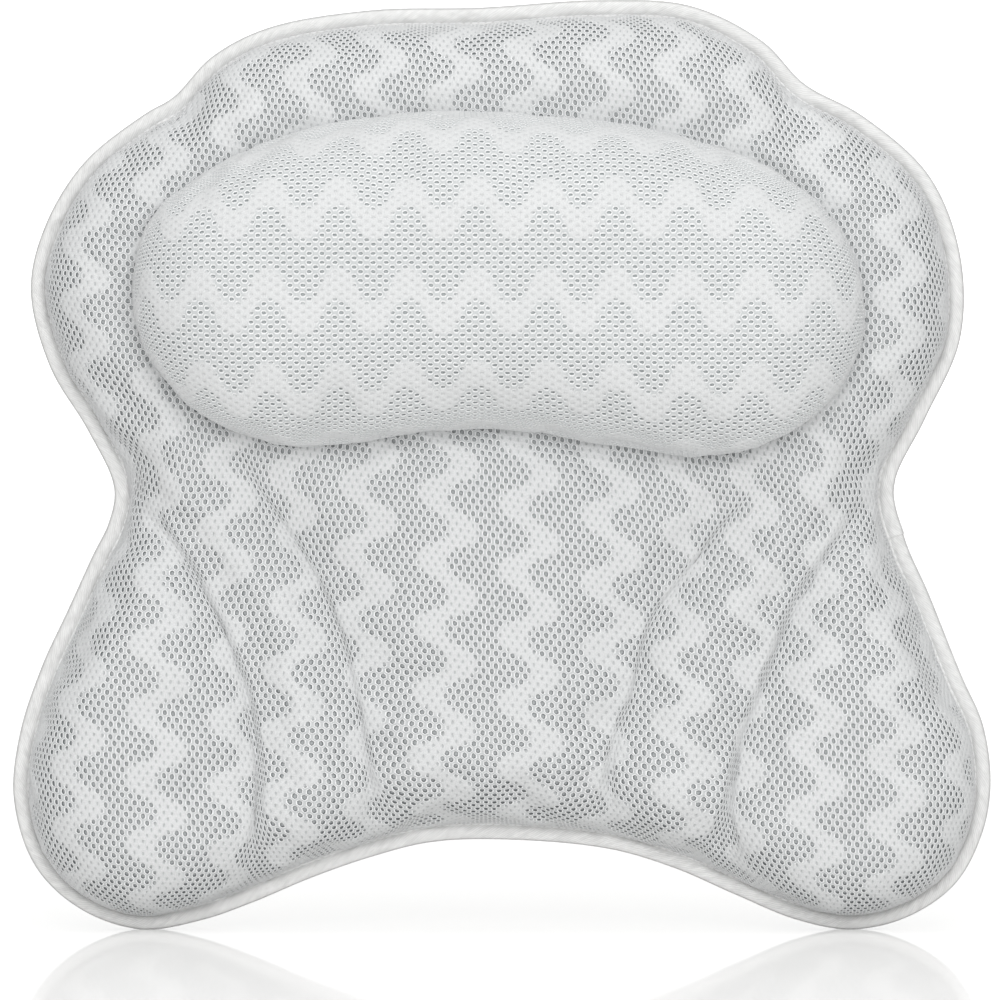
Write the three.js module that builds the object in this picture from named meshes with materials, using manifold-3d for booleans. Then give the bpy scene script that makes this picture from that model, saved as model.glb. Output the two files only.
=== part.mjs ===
// Bath pillow: a butterfly-shaped pad with a raised neck roll, held to the tub wall by six suction cups.
// Millimetres, X across, Z up, Y from the bather (negative) to the tub wall (zero).
// The origin lies on the tub wall, behind the middle of the pad's outline.

import * as THREE from 'three';
import * as BufferGeometryUtils from 'three/addons/utils/BufferGeometryUtils.js';
import Module from 'manifold-3d';

const wasm = await Module();
wasm.setup();

// Pad, measured over its edge binding
const padWidth = 400;
const padHeight = 380;
const crownHeight = 33;
const crownRun = 36;
const backBulge = 4;
const backRun = 14;
const panelThickness = 2.5;

// Clearances between pieces that touch
const layerGap = 0.4;
const sewnGap = 0.3;

// Channels sewn into the lower half
const channelDepthShare = 0.38;
const channelHalfWidth = 23;
const channelFadeShare = 0.28;
const fillingInset = 2;
const fillingSlack = 1;

// Satin tape folded round the edge
const bindingWidth = 7.5;
const bindingThickness = 0.9;
const bindingCorner = 1.4;

// Neck roll
const rollWidth = 299;
const rollTall = 140.5;
const rollHeight = 41;
const rollTuck = 8;
const rollWidestShare = 0.3;
const rollCoverThickness = 2.5;
const rollBaseThickness = 1.2;

// Suction cups and the webbing straps that carry them
const wallGap = 20;
const cupRadius = 29;
const cupRimWidth = 3.5;
const cupRimThickness = 1.2;
const cupHollowDepth = 9.5;
const cupShoulderRadius = 9;
const neckRadius = 4;
const neckPlay = 0.4;
const knobRadius = 8;
const knobThickness = 2.5;
const tabLength = 9;
const tabWidth = 10;
const tabThickness = 1.2;
const tabBite = 2.5;
const tabSetback = 0.4;
const strapLength = 64;
const strapWidth = 24;
const strapThickness = 1.2;
const strapFlatLength = 11;
const strapRampLength = 9;

// Hanging loop
const loopTapeWidth = 6;
const loopTapeThickness = 1.2;
const loopWidth = 22;
const loopLength = 42;
const loopAnchorHeight = 10;

// Facet counts
const rungShares = [0, 0.2, 0.42, 0.64, 0.8, 0.9, 0.96, 1];
const lobeShares = [0, 0.25, 0.55, 0.8, 0.93, 1];
const rowShares = [0, 0.1, 0.2, 0.32, 0.44, 0.56, 0.68, 0.79, 0.88, 0.94, 0.975, 1];
const roundSides = 20;
const arcSteps = 6;
const rollStations = 40;

// Points closer together than this are one point
const weldStep = 0.001;

// Outline, clockwise from the left waist as the bather sees it, in shares of the pad's width and height
const upperShares = [
  [-0.396, -0.024], [-0.423, 0.038], [-0.461, 0.105], [-0.481, 0.189], [-0.466, 0.258], [-0.426, 0.326],
  [-0.364, 0.378], [-0.335, 0.396], [-0.296, 0.439], [-0.239, 0.47], [-0.135, 0.489], [-0.021, 0.492],
  [0.1, 0.5], [0.192, 0.494], [0.266, 0.456], [0.309, 0.41], [0.368, 0.376], [0.436, 0.312],
  [0.468, 0.227], [0.468, 0.135], [0.432, 0.049],
];
const rightLobeShares = [
  [0.401, -0.022], [0.412, -0.079], [0.436, -0.137], [0.47, -0.226], [0.492, -0.279], [0.5, -0.343],
  [0.491, -0.398], [0.463, -0.452], [0.412, -0.488], [0.356, -0.5], [0.3, -0.489],
];
const bottomShares = [
  [0.238, -0.462], [0.177, -0.434], [0.109, -0.413], [0.001, -0.403],
  [-0.073, -0.406], [-0.131, -0.421], [-0.194, -0.444],
];
const leftLobeShares = [
  [-0.255, -0.471], [-0.307, -0.49], [-0.369, -0.5], [-0.431, -0.478], [-0.477, -0.432], [-0.499, -0.36],
  [-0.493, -0.29], [-0.47, -0.216], [-0.444, -0.157], [-0.418, -0.097], [-0.401, -0.06],
];

// Channel seams between their ends on the outline, in the same shares
const outerLeftSeamShares = [
  [-0.344, -0.069], [-0.29, -0.158], [-0.262, -0.236], [-0.25, -0.319], [-0.252, -0.392],
];
const outerRightSeamShares = [
  [0.35, -0.065], [0.298, -0.149], [0.266, -0.231], [0.242, -0.3], [0.232, -0.376],
];
const innerLeftSeamShares = [
  [-0.283, 0.054], [-0.261, 0.007], [-0.221, -0.059], [-0.182, -0.125],
  [-0.155, -0.204], [-0.138, -0.294], [-0.131, -0.36],
];
const innerRightSeamShares = [
  [0.279, 0.027], [0.25, -0.026], [0.22, -0.065], [0.181, -0.12],
  [0.151, -0.166], [0.131, -0.242], [0.112, -0.306], [0.109, -0.36],
];

// Neck roll: its middle in shares of the pad, its outline and spine in shares of the roll
const rollMiddleShares = [-0.004, 0.198];
const rollShares = [
  [-0.5, 0.024], [-0.475, 0.199], [-0.421, 0.298], [-0.331, 0.402], [-0.202, 0.475], [-0.066, 0.5],
  [0.068, 0.484], [0.194, 0.455], [0.314, 0.382], [0.406, 0.292], [0.467, 0.17], [0.5, -0.011],
  [0.495, -0.206], [0.452, -0.354], [0.361, -0.471], [0.269, -0.5], [0.145, -0.468], [0.008, -0.424],
  [-0.083, -0.43], [-0.202, -0.462], [-0.311, -0.462], [-0.406, -0.381], [-0.467, -0.258], [-0.495, -0.124],
];
const spineShares = [[-0.31, -0.03], [-0.1, 0.03], [0.1, 0.02], [0.31, -0.06]];
const rollInwardShares = [0, 0.06, 0.18, 0.38, 0.62, 0.82];
const rollFlankTuckShare = 0.3;
const rollFlankRiseShare = 0.4;

// Cup places in shares of the pad
const cupPlaceShares = {
  top_left: [-0.215, 0.305],
  top_right: [0.215, 0.305],
  middle_left: [-0.265, 0.01],
  middle_right: [0.265, 0.01],
  bottom_left: [-0.325, -0.31],
  bottom_right: [0.325, -0.31],
};
const loopTopShare = 0.37;

// Depths from the tub wall to each layer, all towards the bather
const depthBackFlat = wallGap;
const depthBackHem = depthBackFlat + backBulge;
const depthBackInner = depthBackHem + panelThickness;
const depthFrontInner = depthBackInner + layerGap;
const depthFrontHem = depthFrontInner + panelThickness;
const depthPlateau = depthFrontHem + crownHeight;
const depthRollFoot = depthPlateau + sewnGap;

const edgeInset = bindingThickness + sewnGap;
const hemWidth = bindingWidth + sewnGap;
const knobLift = sewnGap;
const strapLift = knobLift + knobThickness + sewnGap;
const cupBodyLift = strapLift + strapThickness + sewnGap;

const materials = {
  airMesh: surface(0xf1f4f5, 0.92),
  rollMesh: surface(0xf4f6f7, 0.92),
  backMesh: surface(0xe9edef, 0.94),
  satin: surface(0xf7f8f8, 0.42),
  fibre: surface(0xfafafa, 0.98),
  webbing: surface(0xeeefef, 0.8),
  clearVinyl: surface(0xdfe9ec, 0.18),
};

function surface(color, roughness) {
  return new THREE.MeshStandardMaterial({ color, roughness, metalness: 0 });
}

function onPad([xShare, zShare]) {
  return new THREE.Vector2(xShare * padWidth, zShare * padHeight);
}

function onRoll([xShare, zShare]) {
  const middle = onPad(rollMiddleShares);
  return new THREE.Vector2(middle.x + xShare * rollWidth, middle.y + zShare * rollTall);
}

// A point of the pad's outline plane at a depth from the tub wall
function atDepth(point, depth) {
  return new THREE.Vector3(point.x, -depth, point.y);
}

function curveThrough(points, closed = false) {
  return new THREE.CatmullRomCurve3(points.map((p) => new THREE.Vector3(p.x, p.y, 0)), closed, 'centripetal');
}

// The curve's points at the given places, moved in towards its right-hand side
function offsetStations(curve, places, inward) {
  return places.map((place) => {
    const point = curve.getPoint(place);
    const along = curve.getTangent(place);
    return new THREE.Vector2(point.x + along.y * inward, point.y - along.x * inward);
  });
}

// Outline stations: each control point of the wings and lobes, and three to each span of the bottom edge
const outlineShares = [...upperShares, ...rightLobeShares, ...bottomShares, ...leftLobeShares];
const outline = curveThrough(outlineShares.map(onPad), true);
const bottomFrom = upperShares.length + rightLobeShares.length;
const bottomTo = bottomFrom + bottomShares.length;
const bottomSteps = 3;
const stationPlaces = outlineShares.flatMap((_, control) => {
  const steps = control >= bottomFrom && control < bottomTo ? bottomSteps : 1;
  return Array.from({ length: steps }, (__, step) => (control + step / steps) / outlineShares.length);
});

function ring(inward) {
  return offsetStations(outline, stationPlaces, inward);
}

// Stations where the channel seams and the waist meet the outline
const waistRightAt = upperShares.length;
const outerRightAt = waistRightAt + rightLobeShares.length;
const innerRightAt = outerRightAt + 2 * bottomSteps;
const innerLeftAt = innerRightAt + 3 * bottomSteps;
const outerLeftAt = innerLeftAt + 2 * bottomSteps;
const innerColumns = 2 * bottomSteps;

const hemRing = ring(hemWidth);
const hemLoop = [...hemRing, hemRing[0]];

function seam(start, shares, end) {
  const curve = curveThrough([start, ...shares.map(onPad), end]);
  return rowShares.map((share) => {
    const point = curve.getPointAt(share);
    return new THREE.Vector2(point.x, point.y);
  });
}

const innerLeftStart = onPad(innerLeftSeamShares[0]);
const innerRightStart = onPad(innerRightSeamShares[0]);
const seams = {
  outerLeft: seam(hemRing[0], outerLeftSeamShares, hemRing[outerLeftAt]),
  innerLeft: seam(innerLeftStart, innerLeftSeamShares.slice(1), hemRing[innerLeftAt]),
  innerRight: seam(innerRightStart, innerRightSeamShares.slice(1), hemRing[innerRightAt]),
  outerRight: seam(hemRing[waistRightAt], outerRightSeamShares, hemRing[outerRightAt]),
};

function between(start, end, count) {
  return Array.from({ length: count + 1 }, (_, i) => start.clone().lerp(end, i / count));
}

// Line from waist to waist where the wings' filling meets the channels
const waistLine = [
  ...between(hemRing[0], innerLeftStart, innerColumns).slice(0, -1),
  ...between(innerLeftStart, innerRightStart, innerLeftAt - innerRightAt).slice(0, -1),
  ...between(innerRightStart, hemRing[waistRightAt], innerColumns),
];

// Straight rungs from one line to another
function rungGrid(from, to, shares) {
  return from.map((start, i) => shares.map((share) => start.clone().lerp(to[i], share)));
}

// Four-sided patch between two columns and two rows
function coonsGrid(left, right, top, bottom) {
  return top.map((topPoint, i) => {
    const u = i / (top.length - 1);
    return rowShares.map((v, j) => {
      const sides = left[j].clone().lerp(right[j], u);
      const ends = topPoint.clone().lerp(bottom[i], v);
      const corners = top[0].clone().lerp(top.at(-1), u).lerp(bottom[0].clone().lerp(bottom.at(-1), u), v);
      return sides.add(ends).sub(corners);
    });
  });
}

const innerRightColumn = innerColumns + innerLeftAt - innerRightAt;
const patches = {
  wings: rungGrid(waistLine, hemRing.slice(0, waistRightAt + 1), rungShares),
  right_lobe: rungGrid(seams.outerRight, hemRing.slice(waistRightAt, outerRightAt + 1), lobeShares),
  left_lobe: rungGrid(seams.outerLeft, hemLoop.slice(outerLeftAt).reverse(), lobeShares),
  right_channel: coonsGrid(
    seams.innerRight,
    seams.outerRight,
    waistLine.slice(innerRightColumn),
    hemRing.slice(outerRightAt, innerRightAt + 1).reverse(),
  ),
  centre_channel: coonsGrid(
    seams.innerLeft,
    seams.innerRight,
    waistLine.slice(innerColumns, innerRightColumn + 1),
    hemRing.slice(innerRightAt, innerLeftAt + 1).reverse(),
  ),
  left_channel: coonsGrid(
    seams.outerLeft,
    seams.innerLeft,
    waistLine.slice(0, innerColumns + 1),
    hemRing.slice(innerLeftAt, outerLeftAt + 1).reverse(),
  ),
};

// Nearest point of a line of points: its distance, and the share of the line's steps before it
function nearest(point, line) {
  let best = { distance: Infinity, share: 0 };
  for (let i = 0; i + 1 < line.length; i += 1) {
    const step = line[i + 1].clone().sub(line[i]);
    const along = THREE.MathUtils.clamp(point.clone().sub(line[i]).dot(step) / step.lengthSq(), 0, 1);
    const distance = point.distanceTo(line[i].clone().addScaledVector(step, along));
    if (distance < best.distance) {
      best = { distance, share: (i + along) / (line.length - 1) };
    }
  }
  return best;
}

function roundedRise(share) {
  const left = 1 - Math.min(share, 1);
  return Math.sqrt(1 - left * left);
}

function channelDip(point, line) {
  const { distance, share } = nearest(point, line);
  const across = Math.min(distance / channelHalfWidth, 1);
  const dip = (1 - across * across) ** 2;
  return 1 - channelDepthShare * dip * THREE.MathUtils.smoothstep(share, 0, channelFadeShare);
}

// Height of the padded front above its hem
function crown(point) {
  const rise = roundedRise(nearest(point, hemLoop).distance / crownRun);
  return Object.values(seams).reduce((height, line) => height * channelDip(point, line), crownHeight * rise);
}

// A flat layout of triangles whose points each carry a height
class Layout {
  constructor() {
    this.points = [];
    this.heights = [];
    this.triangles = [];
    this.known = new Map();
  }

  add(point, height) {
    const key = [point.x, point.y].map((value) => Math.round(value / weldStep)).join();
    if (!this.known.has(key)) {
      this.known.set(key, this.points.length);
      this.points.push(point);
      this.heights.push(height);
    }
    return this.known.get(key);
  }

  addTriangle(a, b, c) {
    const [p, q, r] = [a, b, c].map((index) => this.points[index]);
    const area = (q.x - p.x) * (r.y - p.y) - (q.y - p.y) * (r.x - p.x);
    if (a !== b && b !== c && c !== a) {
      this.triangles.push(area > 0 ? [a, b, c] : [a, c, b]);
    }
  }

  addGrid(grid, heights) {
    const indices = grid.map((column, i) => column.map((point, j) => this.add(point, heights[i][j])));
    for (let i = 0; i + 1 < indices.length; i += 1) {
      for (let j = 0; j + 1 < indices[i].length; j += 1) {
        this.addTriangle(indices[i][j], indices[i + 1][j], indices[i + 1][j + 1]);
        this.addTriangle(indices[i][j], indices[i + 1][j + 1], indices[i][j + 1]);
      }
    }
  }
}

function geometryOf(points, triangles) {
  const geometry = new THREE.BufferGeometry();
  const numbers = points.flatMap((p) => [p.x, p.y, p.z]);
  geometry.setAttribute('position', new THREE.Float32BufferAttribute(numbers, 3));
  geometry.setIndex(triangles.flat());
  geometry.computeVertexNormals();
  return geometry;
}

// The solid between a layout's front and back, each a depth from the wall for a given height
function layeredSolid(layout, frontDepth, backDepth) {
  const count = layout.points.length;
  const layer = (depthAt) => layout.points.map((point, i) => atDepth(point, depthAt(layout.heights[i])));
  const front = layout.triangles;
  const back = front.map(([a, b, c]) => [a + count, c + count, b + count]);
  const edges = new Set(front.flatMap(([a, b, c]) => [`${a} ${b}`, `${b} ${c}`, `${c} ${a}`]));
  const walls = [...edges].flatMap((edge) => {
    const [a, b] = edge.split(' ').map(Number);
    return edges.has(`${b} ${a}`) ? [] : [[b, a, a + count], [b, a + count, b + count]];
  });
  return geometryOf([...layer(frontDepth), ...layer(backDepth)], [...front, ...back, ...walls]);
}

// Closed solid through rings of equal count, each flat end filled in
function loftedSolid(rings) {
  const count = rings[0].length;
  const triangles = [];
  for (let k = 0; k + 1 < rings.length; k += 1) {
    for (let i = 0; i < count; i += 1) {
      const here = k * count + i;
      const next = k * count + ((i + 1) % count);
      triangles.push([here, next, next + count], [here, next + count, here + count]);
    }
  }
  const contour = (points) => points.map((p) => new THREE.Vector2(p.x, p.z));
  const first = THREE.ShapeUtils.triangulateShape(contour(rings[0]), []);
  const last = THREE.ShapeUtils.triangulateShape(contour(rings.at(-1)), []);
  const lastStart = (rings.length - 1) * count;
  triangles.push(...first.map(([a, b, c]) => (turnsWith(rings[0], a, b, c) ? [a, c, b] : [a, b, c])));
  triangles.push(...last.map(([a, b, c]) => {
    const found = turnsWith(rings.at(-1), a, b, c) ? [a, b, c] : [a, c, b];
    return found.map((index) => index + lastStart);
  }));
  return outward(geometryOf(rings.flat(), triangles));
}

// Whether a triangle of a ring's points turns the way the ring does
function turnsWith(points, a, b, c) {
  const turn = (p, q, r) => (q.x - p.x) * (r.z - p.z) - (q.z - p.z) * (r.x - p.x);
  const whole = points.reduce((sum, p, i) => {
    const q = points[(i + 1) % points.length];
    return sum + p.x * q.z - q.x * p.z;
  }, 0);
  return turn(points[a], points[b], points[c]) * whole > 0;
}

// Turns a closed geometry's faces outward
function outward(geometry) {
  const position = geometry.getAttribute('position');
  const index = geometry.getIndex();
  const corner = [new THREE.Vector3(), new THREE.Vector3(), new THREE.Vector3()];
  let volume = 0;
  for (let i = 0; i < index.count; i += 3) {
    corner.forEach((p, k) => p.fromBufferAttribute(position, index.getX(i + k)));
    volume += corner[0].dot(corner[1].cross(corner[2]));
  }
  if (volume < 0) {
    for (let i = 0; i < index.count; i += 3) {
      const second = index.getX(i + 1);
      index.setX(i + 1, index.getX(i + 2));
      index.setX(i + 2, second);
    }
    geometry.computeVertexNormals();
  }
  return geometry;
}

// Position-only copy with shared points merged and the triangles that fold to a line left out
function welded(geometry) {
  const bare = geometry.clone();
  bare.deleteAttribute('normal');
  bare.deleteAttribute('uv');
  const merged = BufferGeometryUtils.mergeVertices(bare, weldStep);
  const index = Array.from(merged.getIndex().array);
  const kept = [];
  for (let i = 0; i < index.length; i += 3) {
    const [a, b, c] = index.slice(i, i + 3);
    if (a !== b && b !== c && c !== a) {
      kept.push(a, b, c);
    }
  }
  merged.setIndex(kept);
  return outward(merged);
}

function manifoldOf(geometry) {
  const closed = welded(geometry);
  return new wasm.Manifold(new wasm.Mesh({
    numProp: 3,
    vertProperties: Float32Array.from(closed.getAttribute('position').array),
    triVerts: Uint32Array.from(closed.getIndex().array),
  }));
}

function geometryFrom(manifold) {
  const mesh = manifold.getMesh();
  const geometry = new THREE.BufferGeometry();
  geometry.setAttribute('position', new THREE.Float32BufferAttribute(Array.from(mesh.vertProperties), 3));
  geometry.setIndex(Array.from(mesh.triVerts));
  geometry.computeVertexNormals();
  return geometry;
}

function named(name, geometry, material) {
  const mesh = new THREE.Mesh(geometry, material.clone());
  mesh.name = name;
  return mesh;
}

// Front cover: flat hem inside the binding, crowned and channelled within it
function frontPanel() {
  const layout = new Layout();
  const edgeRing = ring(edgeInset);
  const hem = [...edgeRing.keys(), 0].map((i) => [edgeRing[i], hemRing[i]]);
  layout.addGrid(hem, hem.map(() => [0, 0]));
  Object.values(patches).forEach((grid) => {
    layout.addGrid(grid, grid.map((column) => column.map(crown)));
  });
  return layeredSolid(layout, (height) => depthFrontHem + height, (height) => depthFrontInner + height);
}

// Back cover: flat inside, gently rounded at its rim outside
function backPanel() {
  const level = (inward, depth) => ring(inward).map((point) => atDepth(point, depth));
  const roundShares = [0.3, 1];
  const roundLevel = (share) => {
    const bulge = backBulge * roundedRise(share);
    return level(hemWidth + share * backRun, depthBackHem - bulge);
  };
  return loftedSolid([
    level(edgeInset, depthBackInner),
    level(edgeInset, depthBackHem),
    level(hemWidth, depthBackHem),
    ...roundShares.map(roundLevel),
  ]);
}

// One channel's fibre batting, set in from its seams and thinner there
function filling(grid) {
  const lastColumn = grid.length - 1;
  const lastRow = grid[0].length - 1;
  const heights = grid.map((column) => column.map(crown));
  const points = grid.map((column) => column.slice());
  grid.forEach((column, i) => column.forEach((point, j) => {
    const innerI = THREE.MathUtils.clamp(i, 1, lastColumn - 1);
    const innerJ = THREE.MathUtils.clamp(j, 1, lastRow - 1);
    if (innerI === i && innerJ === j) {
      return;
    }
    const inner = grid[innerI][innerJ];
    const share = Math.min(fillingInset / point.distanceTo(inner), 1 / 2);
    points[i][j] = point.clone().lerp(inner, share);
    heights[i][j] = THREE.MathUtils.lerp(heights[i][j], crown(inner), share) - fillingSlack;
  }));
  const layout = new Layout();
  layout.addGrid(points, heights);
  const depthBack = depthBackInner + layerGap;
  return layeredSolid(layout, (height) => depthFrontInner + height - layerGap, () => depthBack);
}

// Satin tape folded round both covers' hems
function edgeBinding() {
  const frontInside = depthFrontHem + sewnGap;
  const frontOutside = frontInside + bindingThickness;
  const backInside = depthBackHem - sewnGap;
  const backOutside = backInside - bindingThickness;
  const section = [
    [bindingWidth, frontOutside],
    [bindingCorner, frontOutside],
    [0, frontOutside - bindingCorner],
    [0, backOutside + bindingCorner],
    [bindingCorner, backOutside],
    [bindingWidth, backOutside],
    [bindingWidth, backInside],
    [bindingThickness, backInside],
    [bindingThickness, frontInside],
    [bindingWidth, frontInside],
  ];
  const lines = section.map(([inward, depth]) => ring(inward).map((point) => atDepth(point, depth)));
  const count = stationPlaces.length;
  const triangles = [];
  lines.forEach((_, k) => {
    const nextLine = (k + 1) % lines.length;
    for (let i = 0; i < count; i += 1) {
      const j = (i + 1) % count;
      triangles.push([k * count + i, k * count + j, nextLine * count + j]);
      triangles.push([k * count + i, nextLine * count + j, nextLine * count + i]);
    }
  });
  return outward(geometryOf(lines.flat(), triangles));
}

const rollOutline = curveThrough(rollShares.map(onRoll), true);
const rollPlaces = Array.from({ length: rollStations }, (_, i) => i / rollStations);
const rollSpine = spineShares.map(onRoll);

function spinePointFor(point) {
  const { share } = nearest(point, rollSpine);
  const place = share * (rollSpine.length - 1);
  const before = Math.min(Math.floor(place), rollSpine.length - 2);
  return rollSpine[before].clone().lerp(rollSpine[before + 1], place - before);
}

// Rings of the roll's domed side from its foot to its top, set in from the cover's outside
function rollRings(inset, footDepth) {
  const topDepth = depthRollFoot + rollHeight - inset;
  const spine = offsetStations(rollOutline, rollPlaces, 0).map(spinePointFor);
  const level = (inward, share, depth) => offsetStations(rollOutline, rollPlaces, inward)
    .map((point, i) => atDepth(point.lerp(spine[i], share), depth));
  const widestDepth = THREE.MathUtils.lerp(depthRollFoot, topDepth, rollWidestShare);
  const flankDepth = THREE.MathUtils.lerp(depthRollFoot, widestDepth, rollFlankRiseShare);
  return [
    level(inset + rollTuck, 0, footDepth),
    level(inset + rollFlankTuckShare * rollTuck, 0, flankDepth),
    ...rollInwardShares.map((share) => {
      const depth = THREE.MathUtils.lerp(widestDepth, topDepth, roundedRise(share / rollInwardShares.at(-1)));
      return level(inset, share, depth);
    }),
  ];
}

function neckRollCover() {
  const outside = rollRings(0, depthRollFoot);
  const inside = rollRings(rollCoverThickness, depthRollFoot);
  return loftedSolid([...outside.reverse(), ...inside]);
}

function neckRollCore() {
  return loftedSolid(rollRings(rollCoverThickness + layerGap, depthRollFoot + rollBaseThickness + layerGap));
}

function neckRollBase() {
  const inward = rollTuck + rollCoverThickness + layerGap;
  const level = (depth) => offsetStations(rollOutline, rollPlaces, inward)
    .map((point) => atDepth(point, depth));
  return loftedSolid([level(depthRollFoot), level(depthRollFoot + rollBaseThickness)]);
}

// Vinyl suction cup with its button and pull tab, its local Y starting at the back cover
function suctionCup() {
  const rimTop = wallGap - cupRimThickness;
  const hollowRadius = cupRadius - cupRimWidth;
  const domeShares = [0.3, 0.6, 0.85];
  const domePower = 1.3;
  const hollowShares = [0.8, 0.55, 0.3];
  const profile = [
    [0, knobLift],
    [knobRadius, knobLift],
    [knobRadius, knobLift + knobThickness],
    [neckRadius, knobLift + knobThickness],
    [neckRadius, cupBodyLift],
    [cupShoulderRadius, cupBodyLift],
    ...domeShares.map((share) => [
      THREE.MathUtils.lerp(cupShoulderRadius, cupRadius, share),
      THREE.MathUtils.lerp(cupBodyLift, rimTop, share ** domePower),
    ]),
    [cupRadius, rimTop],
    [cupRadius, wallGap],
    [hollowRadius, wallGap],
    ...hollowShares.map((share) => [share * hollowRadius, wallGap - cupHollowDepth * (1 - share * share)]),
    [0, wallGap - cupHollowDepth],
  ];
  const cup = new THREE.LatheGeometry(profile.map(([r, y]) => new THREE.Vector2(r, y)), roundSides);
  return geometryFrom(manifoldOf(cup).add(manifoldOf(pullTab())));
}

function pullTab() {
  const half = tabWidth / 2;
  const tongue = new THREE.Shape();
  tongue.moveTo(-half, -cupRadius + tabBite);
  tongue.lineTo(-half, -cupRadius - tabLength + half);
  tongue.absarc(0, -cupRadius - tabLength + half, half, Math.PI, 2 * Math.PI);
  tongue.lineTo(half, -cupRadius + tabBite);
  const tab = flatTape(tongue, tabThickness);
  tab.translate(0, wallGap - tabSetback, 0);
  return tab;
}

// Webbing strap, sewn flat at both ends and lifted between them over the cup's button
function cupStrap() {
  const halfLength = strapLength / 2;
  const flatFrom = halfLength - strapFlatLength;
  const rampFrom = flatFrom - strapRampLength;
  const under = [[halfLength, sewnGap], [flatFrom, sewnGap], [rampFrom, strapLift]];
  const mirrored = (points) => points.map(([x, y]) => [-x, y]).reverse();
  const over = (points) => points.map(([x, y]) => [x, y + strapThickness]).reverse();
  const lower = [...under, ...mirrored(under)];
  const outlinePoints = [...lower, ...over(lower)];
  const profile = new THREE.Shape(outlinePoints.map(([x, y]) => new THREE.Vector2(x, y)));
  const band = new THREE.ExtrudeGeometry(profile, { depth: strapWidth, bevelEnabled: false });
  band.translate(0, 0, -strapWidth / 2);
  const holeRadius = neckRadius + neckPlay;
  const hole = new THREE.CylinderGeometry(holeRadius, holeRadius, 2 * wallGap, roundSides);
  return geometryFrom(manifoldOf(band).subtract(manifoldOf(hole)));
}

// Flat shape in the outline plane, thickened towards the bather
function flatTape(shape, thickness) {
  const tape = new THREE.ExtrudeGeometry(shape, {
    depth: thickness,
    bevelEnabled: false,
    curveSegments: arcSteps,
  });
  return tape.rotateX(Math.PI / 2);
}

// Loop tape lying against the back cover
function backTape(shape) {
  const tape = flatTape(shape, loopTapeThickness);
  tape.translate(0, -depthBackFlat + sewnGap + loopTapeThickness, 0);
  return tape;
}

function loopAnchor() {
  const half = loopWidth / 2;
  const top = loopTopShare * padHeight + loopAnchorHeight;
  const patch = new THREE.Shape();
  patch.moveTo(-half, top);
  patch.lineTo(-half, top - loopAnchorHeight);
  patch.lineTo(half, top - loopAnchorHeight);
  patch.lineTo(half, top);
  return backTape(patch);
}

// The tape's free length, hanging from its sewn patch
function hangingLoop() {
  const half = loopWidth / 2;
  const inner = half - loopTapeWidth;
  const top = loopTopShare * padHeight - sewnGap;
  const bend = top - loopLength + half;
  const bight = new THREE.Shape();
  bight.moveTo(-half, top);
  bight.lineTo(-half, bend);
  bight.absarc(0, bend, half, Math.PI, 2 * Math.PI);
  bight.lineTo(half, top);
  bight.lineTo(inner, top);
  bight.lineTo(inner, bend);
  bight.absarc(0, bend, inner, 0, Math.PI, true);
  bight.lineTo(-inner, top);
  return backTape(bight);
}

const bathPillow = new THREE.Group();
bathPillow.name = 'bath_pillow';
bathPillow.add(named('front_panel', frontPanel(), materials.airMesh));
bathPillow.add(named('back_panel', backPanel(), materials.backMesh));
bathPillow.add(named('edge_binding', edgeBinding(), materials.satin));
Object.entries(patches).forEach(([name, grid]) => {
  bathPillow.add(named(`filling_${name}`, filling(grid), materials.fibre));
});
bathPillow.add(named('neck_roll_base', neckRollBase(), materials.backMesh));
bathPillow.add(named('neck_roll_core', neckRollCore(), materials.fibre));
bathPillow.add(named('neck_roll_cover', neckRollCover(), materials.rollMesh));
Object.entries(cupPlaceShares).forEach(([place, shares]) => {
  const { x, y } = onPad(shares);
  const station = new THREE.Group();
  station.position.set(x, -depthBackFlat, y);
  station.add(named(`cup_${place}`, suctionCup(), materials.clearVinyl));
  station.add(named(`strap_${place}`, cupStrap(), materials.webbing));
  bathPillow.add(station);
});
bathPillow.add(named('loop_anchor', loopAnchor(), materials.webbing));
bathPillow.add(named('hanging_loop', hangingLoop(), materials.webbing));

export default bathPillow;
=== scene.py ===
# Bath pillow: air mesh cushion with a neck roll, satin edge tape and suction cups.
# Metres, +Z up, the bather on the -Y side and the tub wall at Y = 0.
import math
from contextlib import contextmanager

import bmesh
import bpy
import numpy as np
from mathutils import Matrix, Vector, noise


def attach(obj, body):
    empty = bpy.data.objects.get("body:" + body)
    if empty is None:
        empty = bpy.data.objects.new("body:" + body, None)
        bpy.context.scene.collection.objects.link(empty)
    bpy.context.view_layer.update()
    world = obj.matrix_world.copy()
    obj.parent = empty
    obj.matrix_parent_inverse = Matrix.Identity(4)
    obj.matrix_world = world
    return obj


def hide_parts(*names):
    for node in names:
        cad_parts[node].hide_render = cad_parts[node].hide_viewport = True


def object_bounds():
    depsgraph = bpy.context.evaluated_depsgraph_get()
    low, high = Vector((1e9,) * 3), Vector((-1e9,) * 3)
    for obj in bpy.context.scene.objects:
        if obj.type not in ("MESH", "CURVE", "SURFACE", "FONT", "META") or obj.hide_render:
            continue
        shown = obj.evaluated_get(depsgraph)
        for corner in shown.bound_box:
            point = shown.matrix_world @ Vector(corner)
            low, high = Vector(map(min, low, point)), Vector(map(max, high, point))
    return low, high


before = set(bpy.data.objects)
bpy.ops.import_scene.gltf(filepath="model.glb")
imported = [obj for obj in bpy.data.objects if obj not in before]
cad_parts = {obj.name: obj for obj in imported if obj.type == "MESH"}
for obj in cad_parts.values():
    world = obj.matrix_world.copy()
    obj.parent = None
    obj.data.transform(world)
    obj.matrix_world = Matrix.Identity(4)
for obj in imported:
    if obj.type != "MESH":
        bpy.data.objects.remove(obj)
cadLow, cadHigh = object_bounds()
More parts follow.
